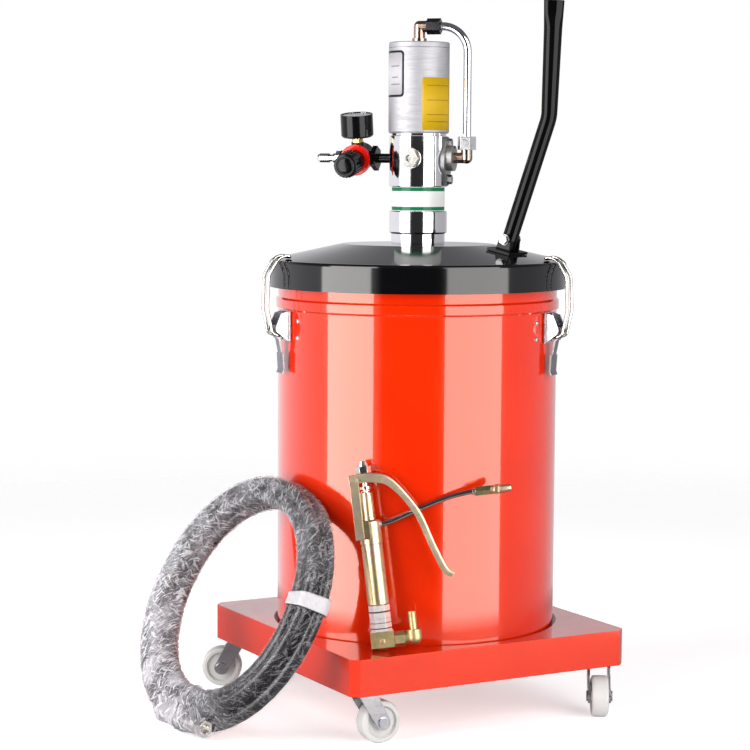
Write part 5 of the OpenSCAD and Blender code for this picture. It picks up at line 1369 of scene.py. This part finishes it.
LATCH_AZ = (174.0, -54.0, 60.0)
WIRE_R, WIRE_BEND, BAIL_HALF, BAIL_INNER = 1.75, 5.0, 8.0, 3.8
PROFILE = [(184.2, 461.4), (193.6, 464.4), (196.0, 478.0), (200.0, 494.0), (198.0, 534.8),
           (185.0, 555.1), (174.5, 557.9), (170.5, 555.7)]
foot_r, foot_z = PROFILE[0]
bail_path = [Vector((foot_r, -BAIL_INNER, foot_z))]
bail_path += [Vector((x, -BAIL_HALF, z)) for x, z in PROFILE]
bail_path += [Vector((x, BAIL_HALF, z)) for x, z in reversed(PROFILE)]
bail_path.append(Vector((foot_r, BAIL_INNER, foot_z)))
smooth_path = round_corners(bail_path, WIRE_BEND)
for k, az in enumerate(LATCH_AZ, 1):
    place_at = Matrix.Rotation(math.radians(az), 4, "Z")
    bail = tube_curve(f"bail_wire_{k}", [place_at @ p * MM for p in smooth_path], WIRE_R * MM)
    dressed(bail, FINISHES["bail_wire"], "nickel_steel", f"bail_{k}", f"latch_bail_{k}")
print("bails:", len(LATCH_AZ), "of", len(smooth_path), "points")

# %% [markdown]
# The trigger is a pressed channel with rounded shoulders. Its section is an open U: a web on
# the outside of the curve and two cheeks, of which the far one swings in to clear the nozzle.
# The section is a closed outline, so each ring of the sweep is that outline at its own height
# and width, and the arm grows slimmer towards its end.

# %% Curve helper
def spline_through(points, steps):
    """Catmull-Rom curve through points, ends doubled."""
    out = []
    for i in range(len(points) - 1):
        a, b = points[max(i - 1, 0)], points[i]
        c, d = points[i + 1], points[min(i + 2, len(points) - 1)]
        for k in range(steps):
            t = k / steps
            out.append(0.5 * (2 * b + (c - a) * t + (2 * a - 5 * b + 4 * c - d) * t * t
                              + (3 * b - a - 3 * c + d) * t ** 3))
    return out + [points[-1]]


def arc(centre_y, centre_n, radius, start, stop, steps=6):
    turns = [math.radians(start + (stop - start) * k / steps) for k in range(steps + 1)]
    return [(centre_y + radius * math.cos(t), centre_n + radius * math.sin(t)) for t in turns]


def channel_outline(half, near, far, wall, round_r):
    """Outline of a U: outer shoulders first, then the inside, as (across, outward) pairs."""
    inner = max(round_r - wall, 0.3)
    points = [(near, -half)]
    points += arc(near + round_r, half - round_r, round_r, 180, 90)
    points += arc(far - round_r, half - round_r, round_r, 90, 0)
    points += [(far, -half), (far - wall, -half)]
    points += arc(far - round_r, half - round_r, inner, 0, 90)
    points += arc(near + round_r, half - round_r, inner, 90, 180)
    return points + [(near + wall, -half)]


print("outline points:", len(channel_outline(5.5, -7.2, 7.2, 1.5, 2.6)))

# %% Trigger
TRIGGER_SHARES = [(0, 0), (0.13, -0.008), (0.26, -0.002), (0.40, 0.035), (0.542, 0.174),
                  (0.696, 0.392), (0.808, 0.684), (0.913, 0.925), (1, 1)]
TRIGGER_START = Vector((-18.0, 200.3))
TRIGGER_REACH, TRIGGER_DROP = 107.0, 124.0
HALF_H, NEAR_CHEEK, FAR_CHEEK = 5.5, -7.2, 7.2
SHEET_T, SHOULDER_R = 1.5, 2.2
SLIMMER, TIP_SLIMMER, SWING_IN = 1.5, 0.8, 6.6       # what the arm and the far cheek give up
curve = spline_through([TRIGGER_START + Vector((x * TRIGGER_REACH, -z * TRIGGER_DROP))
                        for x, z in TRIGGER_SHARES], 9)
bm = bmesh.new()
rings = []
for i, at in enumerate(curve):
    way = heading(curve, i)
    out = Vector((-way.y, way.x))
    share = i / (len(curve) - 1)
    half = (HALF_H - SLIMMER * smooth_step(share, 0.30, 0.55)
            - TIP_SLIMMER * smooth_step(share, 0.9, 1.0))
    far = FAR_CHEEK - SWING_IN * smooth_step(share, 0.16, 0.20)
    ring = []
    for across, height in channel_outline(half, NEAR_CHEEK, far, SHEET_T, SHOULDER_R):
        edge = at + out * (height + HALF_H - half)
        ring.append(bm.verts.new((GUN_FRAME @ Vector((edge.x, across, edge.y))) * MM))
    rings.append(ring)
join_rings(bm, rings)
trigger = piece_from(bm, "trigger_lever", sharp=50)
dressed(trigger, FINISHES["pressed_zinc"], "yellow_zinc", "trigger", "gun_trigger")
print("trigger:", len(trigger.data.polygons), "faces")

# %% [markdown]
# The gun's nozzle is a bent steel tube with a crimped ring, and a grease coupler screwed on:
# a hexagon, a knurled sleeve and a nose that takes the fitting. Turned parts like these are
# profiles spun round an axis. A hexagonal bar is spun too: its radius changes with the angle,
# and a turned chamfer cuts its six corners round at both ends.

# %% Lathe and prism helpers
def angles(spokes):
    return [2 * math.pi * k / spokes for k in range(spokes)]


def rings_round(name, rows, frame_matrix, sharp):
    """A piece from (height, radii) rows: each is a ring round Z with one radius per spoke."""
    bm = bmesh.new()
    rings = []
    for height, radii in rows:
        spots = [Vector((r * math.cos(turn), r * math.sin(turn), height))
                 for r, turn in zip(radii, angles(len(radii)))]
        rings.append([bm.verts.new((frame_matrix @ spot) * MM) for spot in spots])
    join_rings(bm, rings)
    return piece_from(bm, name, sharp=sharp)


def spun(name, profile, frame_matrix, spokes=64, flutes=0, flute_depth=0.0):
    """A profile of (radius, height) pairs turned round Z; a third entry marks a knurled row."""
    cuts = [flute_depth * (0.5 + 0.5 * math.cos(flutes * turn)) for turn in angles(spokes)]
    rows = [(height, [radius - cut if knurled else radius for cut in cuts])
            for radius, height, *knurled in profile]
    return rings_round(name, rows, frame_matrix, 35)


def hex_prism(name, radius, low, high, chamfer, frame_matrix):
    """A hexagonal bar with both ends turned to a chamfer, as nuts and couplers have."""
    sixth = math.pi / 3
    flats = [radius * math.cos(sixth / 2) / math.cos((turn + sixth / 2) % sixth - sixth / 2)
             for turn in angles(72)]
    rise = chamfer * 0.58        # a chamfer of 30 degrees
    rows = [(height, [min(flat, radius - inset) for flat in flats])
            for inset, height in ((chamfer, low), (0.0, low + rise),
                                  (0.0, high - rise), (chamfer, high))]
    return rings_round(name, rows, frame_matrix, 20)


print("lathe ready")

# %% Nozzle tube
NOZZLE_START, NOZZLE_Y = (7.0, 146.0), 4.0
NOZZLE_REACH, NOZZLE_LIFT, NOZZLE_R = 123.0, 25.0, 3.0
NOZZLE_SHARES = [(0, 0), (0.06, 0), (0.14, 0.05), (0.28, 0.26), (0.45, 0.53), (0.70, 0.86),
                 (0.90, 1), (1, 1)]
stations = [Vector((NOZZLE_START[0] + x * NOZZLE_REACH, NOZZLE_Y,
                    NOZZLE_START[1] + z * NOZZLE_LIFT)) for x, z in NOZZLE_SHARES]
nozzle_line = [GUN_FRAME @ p * MM for p in spline_through(stations, 10)]
nozzle = tube_curve("nozzle_tube", nozzle_line, NOZZLE_R * MM)
dark_chrome = metal("dark_chrome", (0.42, 0.41, 0.40, 1), (0.34, 0.33, 0.34, 1),
                    (0.26, 0.25, 0.25, 1), 0.12, amount=0.5)[0]
dressed(nozzle, dark_chrome, "nickel_steel", "gun", "gun_nozzle")
print("nozzle tube:", len(nozzle_line), "points")

# %% [markdown]
# A short sleeve stands on the gun's head round the return spring. It guides the collar of the
# valve rod, so its bore is a little wider than the collar.

# %% Sleeve round the return spring
SLEEVE_FOOT, SLEEVE_H, SLEEVE_BORE = 152.0, 32.0, 6.8
SLEEVE_TOP = SLEEVE_FOOT + SLEEVE_H
sleeve_ring = spun("spring_sleeve", [
    (8.1, SLEEVE_FOOT - 0.4), (8.1, SLEEVE_FOOT + 3.0), (7.7, SLEEVE_FOOT + 3.4),
    (7.7, SLEEVE_TOP - 0.6), (7.4, SLEEVE_TOP), (6.9, SLEEVE_TOP),
    (SLEEVE_BORE, SLEEVE_TOP - 0.4), (SLEEVE_BORE, SLEEVE_FOOT + 0.6),
], GUN_FRAME)
dressed(sleeve_ring, FINISHES["yellow_zinc"], "yellow_zinc", "gun")
print("sleeve", SLEEVE_H, "mm tall")

# %% [markdown]
# The regulator's knob ends in a moulded cap: a rounded rim, a shallow ring groove, and a
# slightly raised middle. Its frame is the regulator's, turned so that Z runs out of the knob.

# %% Cap of the regulator's knob
KNOB_FRAME = (REG_FRAME @ Matrix.Translation((REG_OUT, 26.3, 0))
              @ Matrix.Rotation(math.radians(-90), 4, "X"))
CAP_PROFILE = [
    (14.4, 29.6), (14.3, 30.3), (13.8, 30.8), (13.0, 31.0), (11.2, 31.0), (10.8, 30.4),
    (9.6, 30.4), (9.2, 31.0), (8.4, 31.5), (4.0, 31.9), (0.2, 32.0),
]
cap = spun("knob_cap", CAP_PROFILE, KNOB_FRAME)
dressed(cap, FINISHES["black_plastic"], "black_plastic", "knob")
print("knob cap", round(CAP_PROFILE[-1][1] - CAP_PROFILE[0][1], 1), "mm proud")

# %% [markdown]
# The coupler at the nozzle's end is three turned pieces in three platings: the nickel ring that
# is crimped on the tube, an olive hexagon for the spanner, and a yellow nose. The nose has a
# knurled grip of 24 flutes behind the bore that takes the fitting. Its frame stands at the
# nozzle's last station, with Z along the tube.

# %% Coupler on the nozzle
TIP_FRAME = (
    GUN_FRAME
    @ Matrix.Translation(stations[-1])
    @ Matrix.Rotation(math.radians(90), 4, "Y")
)
FLUTES, FLUTE_DEPTH = 24, 0.35
olive_zinc = metal("olive_zinc", (0.50, 0.42, 0.20, 1), (0.34, 0.36, 0.16, 1),
                   (0.46, 0.32, 0.20, 1), 0.24, scale=80.0, amount=0.8)[0]
ring = spun("nozzle_ferrule", [(3.3, -6.4), (4.3, -6.2), (4.4, -3.4), (3.9, -3.0)], TIP_FRAME)
body = hex_prism("coupler_hexagon", 6.0, -3.0, 15.0, 0.7, TIP_FRAME)
nose = spun("coupler_nose", [
    (5.0, 15.0), (5.3, 15.4), (5.3, 17.4), (4.9, 17.8), (4.9, 18.6),
    (5.5, 19.0, 1), (5.6, 19.2, 1), (5.6, 24.4, 1), (5.5, 24.6, 1),
    (4.9, 25.0), (4.9, 25.8), (5.3, 26.2), (5.2, 28.6), (4.7, 33.0),
    (4.5, 36.6), (4.0, 38.6), (3.4, 39.0), (3.3, 38.8), (3.2, 32.0),
], TIP_FRAME, spokes=96, flutes=FLUTES, flute_depth=FLUTE_DEPTH)
for piece, finish in ((ring, FINISHES["nickel_steel"]), (body, olive_zinc),
                      (nose, FINISHES["yellow_zinc"])):
    dressed(piece, finish, "nickel_steel", "gun", "gun_nozzle")
print("coupler of 3 pieces")
